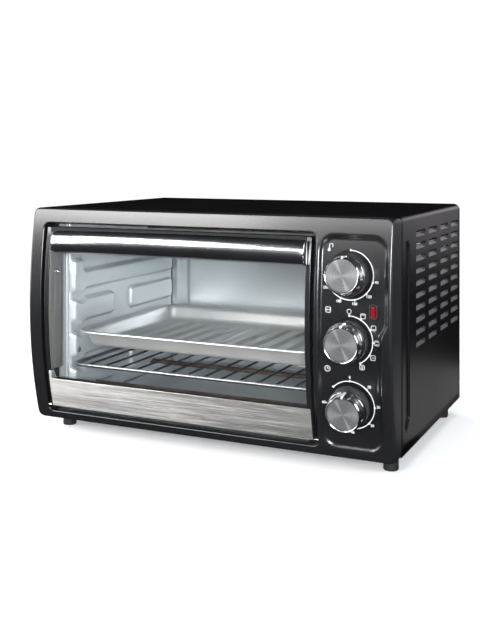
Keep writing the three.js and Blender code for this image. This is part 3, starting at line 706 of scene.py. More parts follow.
class OVEN_OT_cabinet(OvenOperator):
    """Sheet cover bent over the top and both sides, with louvres pressed inwards and a stiffening groove;
    turned feet; rear panel and base pan keep their CAD shapes"""
    bl_idname = "oven.cabinet"
    bl_label = "Cabinet"

    columns = (82.0, 139.0, 198.0, 254.0)
    top_row, pitch, rows, slot_length = 234.0, 13.85, 10, 40.0
    slot_low, slot_high, groove_depth, louvre_depth, sheet = 1.25, 2.95, 2.2, 3.0, 0.9

    def depth(self, side, y, z):
        """How far the sheet is pressed in: a groove behind the fascia on both sides, cut off aslant at its
        foot, and on the right a ramp under each louvre's slot."""
        groove = box_distance(y, z, 14.5, 33.0, 22.0, 226.0, 4.0)
        slant = (z - 22.0) * 0.8 - (y - 14.5) * 0.6
        groove = np.maximum(groove, -slant)
        depth = self.groove_depth * step(0.9, -0.9, groove)
        if side > 0:
            for column in self.columns:
                across = step(self.slot_length / 2 + 0.9, self.slot_length / 2 - 0.9, np.abs(y - column))
                for row in range(self.rows):
                    t = z - (self.top_row - row * self.pitch)
                    ramp = np.clip((t + 3.2) / 4.4, 0, 1) * (t < 3.0)
                    depth = depth + self.louvre_depth * across * ramp
        return depth

    def is_solid(self, centres):
        """False for the cells that each louvre leaves open."""
        x, y, z = centres.T
        row = np.round((self.top_row - z) / self.pitch)
        t = z - (self.top_row - row * self.pitch)
        near = np.min(np.abs(y[:, None] - np.array(self.columns)[None]), 1)
        slot = (t > self.slot_low) & (t < self.slot_high) & (near < self.slot_length / 2 - 0.8)
        return ~(slot & (x > 200) & (row >= 0) & (row < self.rows))

    def build(self, f, s):
        r = s["corner"]
        rows = self.top_row - self.pitch * np.arange(self.rows)
        fine = np.array([-3.6, -3.2, -2.2, -1.1, 0.1, 1.2, 1.26, 2.1, 2.9, 3.0, 3.8])
        groove_foot = [19, 20.6, 21.2, 21.7, 22, 22.4, 23.4, 24.5, 26, 28, 30, 32, 34, 38]
        groove_head = [224.6, 225.2, 225.7, 226, 226.4, 227.4]
        heights = np.unique(np.concatenate([(rows[:, None] + fine).ravel(), np.arange(0, 100, 12.0),
                                            groove_foot, groove_head, [HEIGHT - r]]))
        heights = heights[heights <= HEIGHT - r]
        half_slot = np.array([6, 12, 18, 19.1, 19.7, 20.3, 20.9, 21.6])
        across = np.concatenate([-half_slot[::-1], [0], half_slot])
        columns = (np.array(self.columns)[:, None] + across).ravel()
        groove_front = [0.3, 6, 12, 13.1, 13.6, 14.1, 14.5, 14.9, 15.4, 15.9, 18, 22, 26, 30]
        groove_back = [31.6, 32.1, 32.6, 33, 33.4, 33.9, 34.4, 36, 46, 56]
        lines = np.concatenate([columns, groove_front, groove_back, [DEPTH]])
        ys = np.unique(lines[(lines >= 0.3) & (lines <= DEPTH)])
        bend = np.linspace(0, math.pi / 2, 9)[1:-1]
        tops = np.linspace(HALF - r, r - HALF, 14)
        turns = [(math.cos(a), math.sin(a)) for a in bend]
        path = [(HALF, z, 1, 0) for z in heights]
        path += [(HALF - r + r * c, HEIGHT - r + r * s, c, s) for c, s in turns]
        path += [(x, HEIGHT, 0, 1) for x in tops]
        path += [(r - HALF - r * s, HEIGHT - r + r * c, -s, c) for c, s in turns]
        path += [(-HALF, z, -1, 0) for z in heights[::-1]]
        x, z, nx, nz = np.array(path).T[:, :, None]
        y = ys[None, :]
        press = np.where(nx > 0.99, self.depth(1, y, z), np.where(nx < -0.99, self.depth(-1, y, z), 0.0))
        grid = np.stack(np.broadcast_arrays(x - nx * press, y, z - nz * press), -1)
        shape = Shape().grid(grid, wrap_columns=False, keep=self.is_solid)
        cover = piece("cabinet_cover", shape, f["powder_coat"], "root", ["outer_cover"], 40,
                      outward=(0, DEPTH / 2, 0))
        thicken(cover, self.sheet)
        for side in ("front_left", "front_right", "rear_left", "rear_right"):
            low, high = node_box("foot_" + side)
            centre = [(low[0] + high[0]) / 2, (low[1] + high[1]) / 2, low[2]]
            radius = (high[0] - low[0]) / 2
            tall = high[2] - low[2]
            profile = [(0, 0), (radius - 2, 0), (radius - 0.9, 0.15), (radius - 0.2, 0.8), (radius, 1.8),
                       (radius, tall - 6), (radius - 0.4, tall - 4), (radius - 1.5, tall - 3.2),
                       (radius - 1.6, tall - 0.4), (radius - 1.9, tall), (0, tall)]
            foot = Shape().grid(fan(profile, 40, centre, (0, 0, 1), (0, 1, 0)))
            piece("foot_pad_" + side, foot, f["rubber"], "root", ["foot_" + side], 30)


class OVEN_OT_dials(OvenOperator):
    """White dial printing: an arc with ticks round each knob, numbers, heating symbols, three pictograms"""
    bl_idname = "oven.dials"
    bl_label = "Dial print"

    lift, thick = 0.05, 0.16
    arcs = {"temperature": (90, -146), "function": (90, -63), "timer": (136, -180)}
    ticks = {"temperature": (90, -14, -45, -77, -111, -146), "function": (90, 60, 29, -1, -32, -63),
             "timer": (136, 90, 46, 0, -43, -90, -135, -180)}
    numbers = {"temperature": {"90": -12, "120": -45, "150": -79, "180": -113, "230": -152},
               "timer": {"0": 90, "10": 46, "20": 2, "30": -42, "40": -90, "50": -135, "60": -180}}
    arc_radius, line, number_radius, icon_radius = 26.0, 0.85, 30.2, 30.6

    def stroke(self, shape, points, width, closed=False):
        """A flat raised line: a rectangle, width by thick, carried along points (n, 2) on the panel."""
        p = np.array(points, float)
        run = np.roll(p, -1, 0) - np.roll(p, 1, 0) if closed else np.gradient(p, axis=0)
        run /= np.maximum(np.hypot(*run.T)[:, None], 1e-9)
        side = np.stack([-run[:, 1], run[:, 0]], 1) * width / 2
        left, right = p + side, p - side
        rows = []
        for flat_points, height in ((left, 0), (right, 0), (right, self.thick), (left, self.thick)):
            y = bow(flat_points[:, 1]) + sink(*flat_points.T) + self.lift - height
            rows.append(np.stack([flat_points[:, 0], y, flat_points[:, 1]], 1))
        shape.grid(np.stack(rows, 1), wrap_rows=closed, caps=not closed)

    def ring(self, centre, radius, start=0, end=360, count=40):
        """Points along an arc in degrees: centre + radius * (cos a, sin a)."""
        a = np.radians(np.linspace(start, end, count, endpoint=abs(end - start) < 360))
        return np.stack([centre[0] + radius * np.cos(a), centre[1] + radius * np.sin(a)], 1)

    def line_between(self, a, b, count=4):
        """Evenly spaced points from a to b."""
        a, b = np.array(a, float), np.array(b, float)
        return a + (b - a) * np.linspace(0, 1, count)[:, None]

    def heating_symbol(self, shape, centre, kind):
        """A round-cornered box about 6 mm wide, with a bar for each heating rod that is on."""
        x, z = centre
        size = 2.5
        if kind == 0:
            self.stroke(shape, self.ring(centre, 2.3), 0.45, True)
            return
        outline = loop(x - size, x + size, z - size, z + size, 1.0, counts=(4, 4, 4, 4), bend=4)
        self.stroke(shape, outline, 0.45, True)
        bars = {1: (1.3,), 2: (-1.3,), 3: (1.3, -1.3), 4: (0.0,), 5: (1.2, 0.0, -1.2)}[kind]
        for level in bars:
            self.stroke(shape, self.line_between((x - 1.4, z + level), (x + 1.4, z + level)), 0.4)

    def pictograms(self, shape):
        """A small sign above each knob, at its left: a thermometer, a box with two rings and a clock."""
        x, z = 160.0, 224.5
        self.stroke(shape, self.ring((x - 1.0, z - 2.6), 1.2, count=16), 0.8, True)
        self.stroke(shape, self.line_between((x - 1.0, z - 1.6), (x - 0.4, z + 3.4)), 0.7)
        self.stroke(shape, self.ring((x + 1.3, z + 1.9), 1.9, 110, -60, 14), 0.5)
        x, z = 159.6, 158.6
        box = loop(x - 2.8, x + 2.8, z - 2.8, z + 2.8, 1.2, counts=(4, 4, 4, 4), bend=4)
        self.stroke(shape, box, 0.55, True)
        for at in (-1.2, 1.2):
            self.stroke(shape, self.ring((x + at, z), 0.5, count=12), 0.5, True)
        x, z = 158.4, 95.6
        self.stroke(shape, self.ring((x, z), 3.0, count=28), 0.5, True)
        self.stroke(shape, self.line_between((x, z), (x, z + 1.9)), 0.5)
        self.stroke(shape, self.line_between((x, z), (x + 1.4, z - 0.6)), 0.5)

    def number(self, text, centre, size):
        """Points and faces of a number as a flat raised plate on the panel."""
        curve = bpy.data.curves.new("number", "FONT")
        curve.body, curve.size = text, size
        curve.align_x, curve.align_y = "CENTER", "CENTER"
        curve.offset, curve.extrude = 0.012 * size, 0.5
        holder = bpy.data.objects.new("number", curve)
        bpy.context.scene.collection.objects.link(holder)
        bpy.context.view_layer.update()
        mesh = bpy.data.meshes.new_from_object(holder)
        flat_points = np.empty(len(mesh.vertices) * 3)
        mesh.vertices.foreach_get("co", flat_points)
        p = flat_points.reshape(-1, 3)
        faces = [list(polygon.vertices) for polygon in mesh.polygons]
        bpy.data.objects.remove(holder)
        bpy.data.meshes.remove(mesh)
        x, z = centre[0] + p[:, 0], centre[1] + p[:, 1]
        y = bow(z) + sink(x, z) + self.lift - np.where(p[:, 2] > 0, self.thick, 0.0)
        return np.stack([x, y, z], 1), faces

    def build(self, f, s):
        for dial, height in DIALS.items():
            shape = Shape()
            centre = (DIAL_X, height)
            self.stroke(shape, self.ring(centre, self.arc_radius, *self.arcs[dial], 120), self.line)
            for at, angle in enumerate(self.ticks[dial]):
                a = math.radians(angle)
                spoke = np.array([math.cos(a), math.sin(a)])
                ends = [np.array(centre) + spoke * (self.arc_radius + reach) for reach in (-0.9, 1.6)]
                self.stroke(shape, self.line_between(*ends), 1.3)
                if dial == "function":
                    self.heating_symbol(shape, np.array(centre) + spoke * self.icon_radius, at)
            for text, angle in self.numbers.get(dial, {}).items():
                a = math.radians(angle)
                middle = np.array(centre) + np.array([math.cos(a), math.sin(a)]) * self.number_radius
                points, faces = self.number(text, middle, 4.0)
                shape.faces += [[corner + shape.count for corner in face] for face in faces]
                shape.points.append(points)
                shape.count += len(points)
            if dial == "temperature":
                self.pictograms(shape)
            piece("dial_print_" + dial, shape, f["print"], "root", sharp=30, merge=0.0005)


class OVEN_OT_knobs(OvenOperator):
    """Three knobs, each a fluted black skirt, a chrome cap and a turned face, spun round an axis square to
    the bow; the radius dips at each flute and at the pointer's notch"""
    bl_idname = "oven.knobs"
    bl_label = "Knobs"

    skirt_radius, cap_radius, face_radius = 22.0, 20.5, 17.2
    back, skirt_top, face_height, top = -0.2, 12.6, 24.75, 25.4

    def turned(self, profile, centre, axis, up, angles, dip):
        """Points of a spun profile whose radius is cut by dip(radius, height, angle)."""
        r, h = np.array(profile, float).T[:, :, None]
        a = angles[None, :]
        radius = r - dip(r, h, a)
        side = np.cross(up, axis)
        spokes = np.cos(a)[..., None] * side + np.sin(a)[..., None] * up
        return centre + h[..., None] * axis + radius[..., None] * spokes

    def build(self, f, s):
        count = int(s["flutes"])
        even = np.linspace(0, 2 * math.pi, count * 5, endpoint=False)
        notch = math.radians(4.2)
        for name, height in DIALS.items():
            centre, axis, up = dial_axes(height)
            body = name + "_knob_body"

            def flute(r, h, a):
                """Rounded cosine flutes in the skirt's wall, faded out at its two ends."""
                grip = step(0.6, 2.0, h) * step(self.skirt_top - 0.6, self.skirt_top - 2.0, h) * (r > 21)
                return 0.45 * grip * (0.5 - 0.5 * np.cos(a * count)) ** 0.7

            heights = np.linspace(1.6, self.skirt_top - 1.6, 6)
            wide, brim = self.skirt_radius, self.skirt_top
            profile = [(3.3, self.back), (wide - 0.6, self.back), (wide, self.back + 0.6), (wide, 1.0),
                       *[(wide, h) for h in heights], (wide, brim - 0.9), (wide - 0.5, brim - 0.2),
                       (wide - 1.0, brim), (13.5, brim), (13.5, 21.5), (0, 21.5), (0, 10.6), (3.3, 10.6)]
            shape = Shape().grid(self.turned(profile, centre, axis, up, even, flute), wrap_rows=True)
            piece(name + "_skirt", shape, f["gloss_black"], body, [name + "_knob"], 45)

            def cut_notch(r, h, a):
                """The gap in the cap at the pointer, down to the face's radius."""
                away = np.abs((a - math.pi / 2 + math.pi) % (2 * math.pi) - math.pi)
                inside = step(notch * 1.12, notch * 0.88, away) * (h > self.skirt_top + 0.9)
                return inside * np.maximum(r - self.face_radius, 0)

            seam = self.skirt_top + 0.3
            cap = self.cap_radius
            profile = [(13.8, seam), (cap - 0.3, seam), (cap, seam + 0.3), (cap, 14.1), (cap - 0.25, 14.5),
                       (20.0, 14.7), (19.9, 15.2), (19.6, 19.0), (19.3, 22.5), (18.9, 24.4), (18.5, 25.0),
                       (18.1, self.top), (17.7, 25.25), (17.45, 24.9), (17.4, 24.5), (17.3, 23.4),
                       (13.8, 23.4)]
            close = np.linspace(-notch * 1.3, notch * 1.3, 15) + math.pi / 2
            rest = np.linspace(math.pi / 2 + notch * 1.3, math.pi * 2.5 - notch * 1.3, 170)[1:-1]
            angles = np.sort(np.concatenate([close, rest]) % (2 * math.pi))
            shape = Shape().grid(self.turned(profile, centre, axis, up, angles, cut_notch), wrap_rows=True)
            piece(name + "_cap_ring", shape, f["cap_chrome"], body, [name + "_knob_cap"], 40)

            rings = np.linspace(0, 16.3, 60)
            face = [(r, self.face_height + 0.035 * math.cos(r * 5.2)) for r in rings]
            face += [(16.9, 24.6), (17.1, 24.3), (17.1, 23.3), (0, 23.3)]
            shape = Shape().grid(fan(face, 128, centre, axis, up))
            middle = (centre + axis * self.face_height + SHIFT) / MM
            turned = spun_metal(name + "_turned_face", (0.21, 0.214, 0.22), middle)
            piece(name + "_turned_disc", shape, turned, body, sharp=40)

            ring = loop(-0.9, 0.9, 17.5, 20.2, 0.6, counts=(3, 3, 3, 3), bend=4)
            pointer = Shape().slab(ring, flat(13.2), flat(25.0), 0.35, 2, "z")
            p = pointer.points[0]
            pointer.points[0] = centre + p[:, :1] * np.cross(up, axis) + p[:, 1:2] * up + p[:, 2:] * axis
            piece(name + "_pointer", pointer, f["print"], body, sharp=40)


class OVEN_OT_lamp(OvenOperator):
    """Power lamp: a clear bezel ring round a domed red lens"""
    bl_idname = "oven.lamp"
    bl_label = "Power lamp"

    def build(self, f, s):
        counts = (14, 6, 14, 6)
        front = float(bow(np.array((LAMP["z0"] + LAMP["z1"]) / 2)))
        rear = node_box("lamp_bezel")[1][1]
        profile = ((-0.35, rear), (-0.35, front + 1.2), (-0.5, front + 0.5), (-0.9, front + 0.25),
                   (-1.3, front + 0.45), (-1.6, front + 0.9), (-1.65, rear))
        levels = [raised(loop(**LAMP, grow=grow, counts=counts), y) for grow, y in profile]
        piece("lamp_rim", Shape().grid(np.array(levels), wrap_rows=True), f["clear"], "root",
              ["lamp_bezel"], 40)
        inset = 2.6
        ring = loop(**LAMP, grow=-inset, counts=counts)
        middle, half = (LAMP["x0"] + LAMP["x1"]) / 2, (LAMP["x1"] - LAMP["x0"]) / 2 - inset

        def dome(x, z):
            return front - 0.9 + 0.9 * np.clip(np.abs(x - middle) / half, 0, 1) ** 2

        shape = Shape().slab(ring, dome, flat(front + 9.0), 0.5, 6)
        piece("lamp_dome", shape, f["lens"], "root", ["lamp_lens"], 45)


class OVEN_OT_door(OvenOperator):
    """Door frame: bowed side stiles and rails with rounded edges, flat glass behind them, pins and a stud"""
    bl_idname = "oven.door"
    bl_label = "Door"

    gap, bottom = 0.3, 14.0
    pin_axis = (-18.0, 13.5)

    def build(self, f, s):
        def front(x, z):
            return bow(z) + self.gap

        for side in ("left", "right"):
            low, high = node_box("door_stile_" + side)
            counts = (60, 3, 60, 3)
            ring = loop(low[0], high[0], self.bottom, high[2], 1.0, counts=counts, bend=4)
            shape = Shape().slab(ring, front, flat(-17.4), 0.9, 10)
            outer = (low[0], low[0] + 2.2) if side == "left" else (high[0] - 2.2, high[0])
            rear = loop(*outer, self.bottom, high[2], 0.5, counts=counts, bend=3)
            shape.slab(rear, flat(-17.0), flat(-8.0), 0.5, 3)
            a = (low[0] + 0.05, self.pin_axis[0] + 0.3, self.pin_axis[1])
            knuckle = [(0, 0), (3.6, 0), (3.8, 0.3), (3.8, 5.6), (3.6, 5.9), (0, 5.9)]
            shape.grid(fan(knuckle, 28, a, (1, 0, 0), (0, 0, 1)))
            piece("stile_" + side, shape, f["gloss_black"], "door",
                  ["door_stile_" + side], 50)
        low, high = node_box("door_stile_left")
        z = np.linspace(60.0, 207.0, 60)[:, None]
        across = np.linspace(0, 1, 28)[None, :]
        y = bow(z) + 1.3 + (-8.4 - bow(z) - 1.3) * across
        ridge = 0.32 * np.cos(across * 2 * math.pi * 2.6) + 0.5 * step(0.86, 1.0, across)
        sheet = np.stack(np.broadcast_arrays(high[0] + 0.42 + ridge, y, z), -1)
        liner = Shape().grid(sheet, wrap_columns=False)
        liner = piece("stile_liner", liner, f["satin_liner"], "door", sharp=60,
                      outward=(high[0] - 300, -20, 130))
        thicken(liner, 0.3)
        for place, edge in (("top", 0.6), ("bottom", 0.48)):
            node = f"door_{place}_rail"
            low, high = node_box(node)
            ring = loop(low[0], high[0], low[2], high[2], 0.6, counts=(14, 20, 14, 20), bend=4)
            shape = Shape().slab(ring, front, flat(-16.85), edge, 8)
            # The rails take the black painted darker as painted shade.
            piece("rail_" + place, shape, f["matt_black"], "door", [node], 50)
        low, high = node_box("door_glass")
        ring = loop(low[0], high[0], low[2], high[2], 3.0, counts=(12, 18, 12, 18), bend=5)
        shape = Shape().slab(ring, flat(low[1]), flat(high[1]), 0.5, 4)
        piece("window_pane", shape, f["glass"], "door", ["door_glass"], 40)
        for side in ("left", "right"):
            low, high = node_box("hinge_pin_" + side)
            tall = high[0] - low[0]
            profile = [(0, 0), (2.1, 0), (2.5, 0.4), (2.5, tall - 0.4), (2.1, tall), (0, tall)]
            shape = Shape().grid(fan(profile, 24, (low[0], *self.pin_axis), (1, 0, 0), (0, 0, 1)))
            piece("pivot_pin_" + side, shape, f["chrome"], "door", ["hinge_pin_" + side], 40)
        low, high = node_box("door_stud")
        centre = (low[0], (low[1] + high[1]) / 2, (low[2] + high[2]) / 2)
        ball = [(2.3 * math.sin(a), 5.9 - 2.3 * math.cos(a)) for a in np.linspace(0.55, math.pi, 12)]
        shape = Shape().grid(fan([(0, 0), (1.2, 0), *ball[:-1], (0, 8.2)], 24, centre, (1, 0, 0), (0, 0, 1)))
        piece("stud_ball", shape, f["chrome"], "door", ["door_stud"], 40)


class OVEN_OT_trim(OvenOperator):
    """Brushed stainless sheet along the foot of the door: a thin section that follows the bow, carried
    along X, with its turned-in end leaf and shoulder at the left"""
    bl_idname = "oven.trim"
    bl_label = "Door trim"

    def build(self, f, s):
        low, high = node_box("door_trim")
        bottom, top, shoulder, sheet = low[2], 49.0, high[2], 0.85
        t = np.linspace(0, 1, 14)
        z = bottom + (top - bottom) * t
        edge = 0.4
        front = [(-0.15, bottom + 0.1)] + [(-sheet, level) for level in np.clip(z, bottom + edge, top - edge)]
        rear = [(-0.05, level) for level in np.clip(z[::-1], bottom + edge, top - edge)]
        section = np.array(front + [(-0.6, top - 0.08), (-0.25, top)] + rear)
        y = bow(section[:, 1]) + section[:, 0]
        xs = np.concatenate([[low[0], low[0] + 0.25], np.linspace(low[0] + 2, high[0] - 2, 40),
                             [high[0] - 0.25, high[0]]])
        grid = np.stack(np.broadcast_arrays(xs[:, None], y[None], section[None, :, 1]), -1)
        shape = Shape().grid(grid, caps=True)
        ring = loop(low[0], low[0] + 3.5, top - 6, shoulder, 0.4, counts=(8, 2, 8, 2), bend=3)
        shape.slab(ring, lambda x, z: bow(z) - sheet, lambda x, z: bow(z) - 0.05, 0.2, 4)
        leaf_x = low[0] + 2.9
        for x0, high_edge in ((leaf_x, shoulder), (high[0] - 4.3 - sheet, top)):
            rows = []
            for share in np.linspace(0, 1, 16):
                fall = (high_edge - top) * step(0.35, 0.75, np.array(share))
                levels = bottom + 3.5 + (high_edge - fall - bottom - 3.5) * np.linspace(0, 1, 12)
                start = bow(levels) - sheet * 0.7
                rows.append(np.stack([start + (-17.5 - start) * share, levels], 1))
            leaf = np.array(rows)
            both = []
            for x in (x0, x0 + sheet):
                both.append(np.concatenate([np.full(leaf.shape[:2] + (1,), x), leaf], -1))
            front_grid, back_grid = both
            loop_rows = np.concatenate([front_grid, back_grid[::-1]], 0)
            shape.grid(loop_rows, wrap_rows=True, wrap_columns=False)
            for end in (0, -1):
                shape.grid(np.stack([front_grid[:, end], back_grid[:, end]]), wrap_columns=False)
        piece("trim_sheet", shape, f["stainless"], "door", ["door_trim"], 35)


class OVEN_OT_handle(OvenOperator):
    """Chrome bar: a D-shaped section, half ellipse in front and flat behind, carried along a path that bows
    forward and arches; its left end rounds back to the door, its right end is cut square"""
    bl_idname = "oven.handle"
    bl_label = "Handle"

    def build(self, f, s):
        low, high = node_box("handle_bar")
        middle, half = (low[0] + high[0]) / 2, (high[0] - low[0]) / 2
        tall, deep = (high[2] - low[2]) / 2, 11.0
        centre = (low[2] + high[2]) / 2
        crown, sag, turn = low[1], 11.0, 13.0
        bend = np.linspace(0.03, math.pi / 2, 14)
        x = np.concatenate([low[0] + turn * (1 - np.cos(bend)),
                            np.linspace(low[0] + turn + 3, high[0] - 1.2, 60),
                            [high[0] - 0.7, high[0] - 0.25, high[0]]])
        t = (x - middle) / half
        round_end = np.ones(len(x))
        round_end[:len(bend)] = np.sin(bend)
        tight = np.ones(len(x))
        tight[-3:] = (0.985, 0.95, 0.88)
        arch = s["handle_arch"] * (1 - t ** 2) - s["handle_arch"] / 2
        a = np.linspace(-math.pi / 2, math.pi / 2, 37)
        section_y = np.concatenate([deep * (1 - np.cos(a)), [deep + 0.5, deep + 0.6, deep + 0.6, deep + 0.5]])
        section_z = np.concatenate([np.sin(a), [0.94, 0.8, -0.8, -0.94]]) * (tall - s["handle_arch"] / 2)
        front = crown + sag * t ** 2 + deep * (1 - round_end)
        thin, short = round_end * tight, (0.42 + 0.58 * round_end ** 0.8) * tight
        depth = (front + deep * (1 - tight))[:, None] + section_y[None] * thin[:, None]
        height = (centre + arch)[:, None] + section_z[None] * short[:, None]
        grid = np.stack(np.broadcast_arrays(x[:, None], depth, height), -1)
        piece("handle_rod", Shape().grid(grid, caps=True), f["handle_chrome"], "door",
              ["handle_bar"], 50)
        for side in ("left", "right"):
            low, high = node_box("handle_bracket_" + side)
            ring = loop(low[0], high[0], low[2], high[2], 3.0, counts=(8, 8, 8, 8), bend=6)

            def seat(x, z):
                return crown + sag * ((x - middle) / half) ** 2 + deep + 0.9

            shape = Shape().slab(ring, seat, lambda x, z: bow(z) + 0.1, 0.5, 4)
            piece("handle_foot_" + side, shape, f["dull_black"], "door",
                  ["handle_bracket_" + side], 40)


class OVEN_OT_cooking_space(OvenOperator):
    """Pressed sheet walls round the cooking space: each side wall is a height field of pads, raised by a
    smooth step of the distance to their outlines, with a dip and a nose near the front of every shelf"""
    bl_idname = "oven.cooking_space"
    bl_label = "Cooking space"

    tops, bottoms = (56.0, 100.0, 142.0), (26.0, 68.0, 112.0)
    front_pad, rear_pad = (4.0, 98.0), (140.0, 256.0)
    wall_left, wall_right, wall_back, sheet = -196.0, 132.0, 262.0, 0.7

    def relief(self, y, z):
        """0 on the sheet and 1 on a pad's flat, from the union of the pads' outlines."""
        ear = box_distance(y, z, 4, 27, 150, 192, 6)
        rail = box_distance(y, z, 4, 256, 152, 177, 6)
        nose = np.hypot(y - 21, (z - 154.5) * 0.9) - 7.2
        distance = blend_min(blend_min(ear, rail, 5), nose, 5)
        for level, (low, high) in enumerate(zip(self.bottoms, self.tops)):
            pad = box_distance(y, z, *self.front_pad, low, high, 6)
            if level > 0:
                pad = blend_min(pad, np.hypot(y - 21, (z - low - 3.2) * 0.9) - 7.4, 5)
            dip = np.hypot((y - 21) * 0.85, z - high - 3.0) - 8.0
            pad = -blend_min(-pad, dip, 4)
            distance = np.minimum(distance, pad)
            distance = np.minimum(distance, box_distance(y, z, *self.rear_pad, low, high, 7))
        return step(0.9, -3.4, distance)

    def lines(self, low, high, pitch):
        """Evenly spaced values from low to high, about pitch apart."""
        return np.linspace(low, high, int(round((high - low) / pitch)) + 1)

    def build(self, f, s):
        for side, inward in (("left", 1), ("right", -1)):
            low, high = node_box(f"cavity_{side}_wall")
            face = self.wall_left if inward > 0 else self.wall_right
            y, z = np.meshgrid(self.lines(low[1] + 0.1, high[1], 1.45), self.lines(low[2], high[2], 1.45),
                               indexing="ij")
            x = face + inward * (s["pad_depth"] * self.relief(y, z))
            lip = step(4.2, 2.0, y)
            x = x - inward * lip * 4.4
            shape = Shape().grid(np.stack([x, y, z], -1), wrap_columns=False)
            wall = piece(f"{side}_wall_sheet", shape, f["inner_sheet"], "root",
                         [f"cavity_{side}_wall"], 60, outward=(face - inward * 400, 130, 125))
            thicken(wall, self.sheet, rear=f["dull_steel"])
            low, high = node_box("wall_screw_" + side)
            start = np.array([low[0] if inward > 0 else high[0], 12.0, 78.0])
            tall = high[0] - low[0]
            head = tall - 2.1
            profile = [(0, 0), (1.6, 0), (1.6, head), (3.5, head), (3.6, head + 0.3), (3.2, head + 1.1),
                       (2.2, head + 1.8), (1.2, head + 2.05), (0.9, head + 1.2), (0, head + 0.9)]
            shape = Shape().grid(fan(profile, 32, start, (inward, 0, 0), (0, 0, 1)))
            piece(f"{side}_wall_screw", shape, f["zinc"], "root", ["wall_screw_" + side], 35)
        self.back(f)
        self.mouth(f)
        for name, node in (("roof_sheet", "cavity_roof"), ("floor_sheet", "cavity_floor")):
            low, high = node_box(node)
            level = low[2] + 3.3 if node == "cavity_roof" else high[2]
            x, y = np.meshgrid(self.lines(low[0] + 1.6, high[0] - 1.6, 4), self.lines(low[1], high[1], 4),
                               indexing="ij")
            rib = box_distance(x, y, -160, 96, 60, 205, 14)
            z = level + (-2.2 if node == "cavity_roof" else -1.0) * step(1.5, -4.0, rib)
            shape = Shape().grid(np.stack([x, y, z], -1), wrap_columns=False)
            behind = (-32, 130, 400) if node == "cavity_roof" else (-32, 130, -300)
            sheet = piece(name, shape, f["inner_sheet"], "root", [node], 60, outward=behind)
            thicken(sheet, self.sheet, rear=f["dull_steel"])

    def back(self, f):
        """Back sheet: a field pressed forwards by a smooth step, with a bell-shaped bead round it."""
        low, high = node_box("cavity_back")
        x, z = np.meshgrid(self.lines(low[0] + 0.1, high[0] - 0.1, 2.2), self.lines(low[2], high[2], 2.2),
                           indexing="ij")
        field = box_distance(x, z, low[0] + 28, high[0] - 28, low[2] + 26, high[2] - 24, 16)
        bead = box_distance(x, z, low[0] + 9, high[0] - 9, low[2] + 9, high[2] - 9, 10)
        bead = np.exp(-(bead / 1.8) ** 2)
        y = self.wall_back - 2.6 * step(1.5, -4.5, field) - 1.1 * bead
        shape = Shape().grid(np.stack([x, y, z], -1), wrap_columns=False)
        back = piece("back_sheet", shape, f["mirror_sheet"], "root", ["cavity_back"], 60,
                     outward=(-32, 600, 125))
        thicken(back, self.sheet, rear=f["dull_steel"])

    def mouth(self, f):
        """Front frame: flat flange with a rounded bead round the mouth, turned in at its inner edge."""
        low, high = node_box("cavity_front_frame")
        mouth = dict(x0=self.wall_left, x1=self.wall_right, z0=11.0, z1=240.0, radius=5.0)
        flange = dict(x0=low[0], x1=high[0], z0=low[2], z1=high[2], radius=5.0)
        profile = [(6.0, 0.35), (4.8, 0.1), (4.2, -0.9), (3.4, -1.35), (2.5, -0.9), (2.0, 0.3), (1.5, 1.45),
                   (2.3, 1.5), (5.0, 1.2), (6.0, 1.25)]
        counts = (30, 40, 30, 40)
        levels = [raised(loop(**flange, counts=counts), y) for y in (1.4, 0.35)]
        levels += [raised(loop(**mouth, grow=grow, counts=counts), y) for grow, y in profile]
        piece("mouth_frame", Shape().grid(np.array(levels), wrap_rows=True), f["inner_sheet"], "root",
              ["cavity_front_frame"], 50)


class OVEN_OT_elements(OvenOperator):
    """Four sheathed heating rods across the cooking space, each a spun profile with crimped ends"""
    bl_idname = "oven.elements"
    bl_label = "Heating rods"

    def build(self, f, s):
        for name in (level + "_element_" + end for level in ("lower", "upper") for end in ("front", "rear")):
            low, high = node_box(name)
            radius, span = (high[2] - low[2]) / 2, high[0] - low[0]
            start = (low[0], (low[1] + high[1]) / 2, (low[2] + high[2]) / 2)
            half = [(0, 0), (1.5, 0), (1.8, 0.3), (1.8, 7.0), (radius - 0.3, 7.2), (radius, 7.8),
                    (radius, 13.0), (radius - 0.25, 13.6), (radius - 0.25, 15.0), (radius, 15.6)]
            body = [(radius, at) for at in np.linspace(18, span - 18, 24)]
            profile = half + body + [(r, span - h) for r, h in half[::-1]]
            shape = Shape().grid(fan(profile, 20, start, (1, 0, 0), (0, 0, 1)))
            piece(name + "_rod", shape, f["heated_rod"], "root", [name], 50)


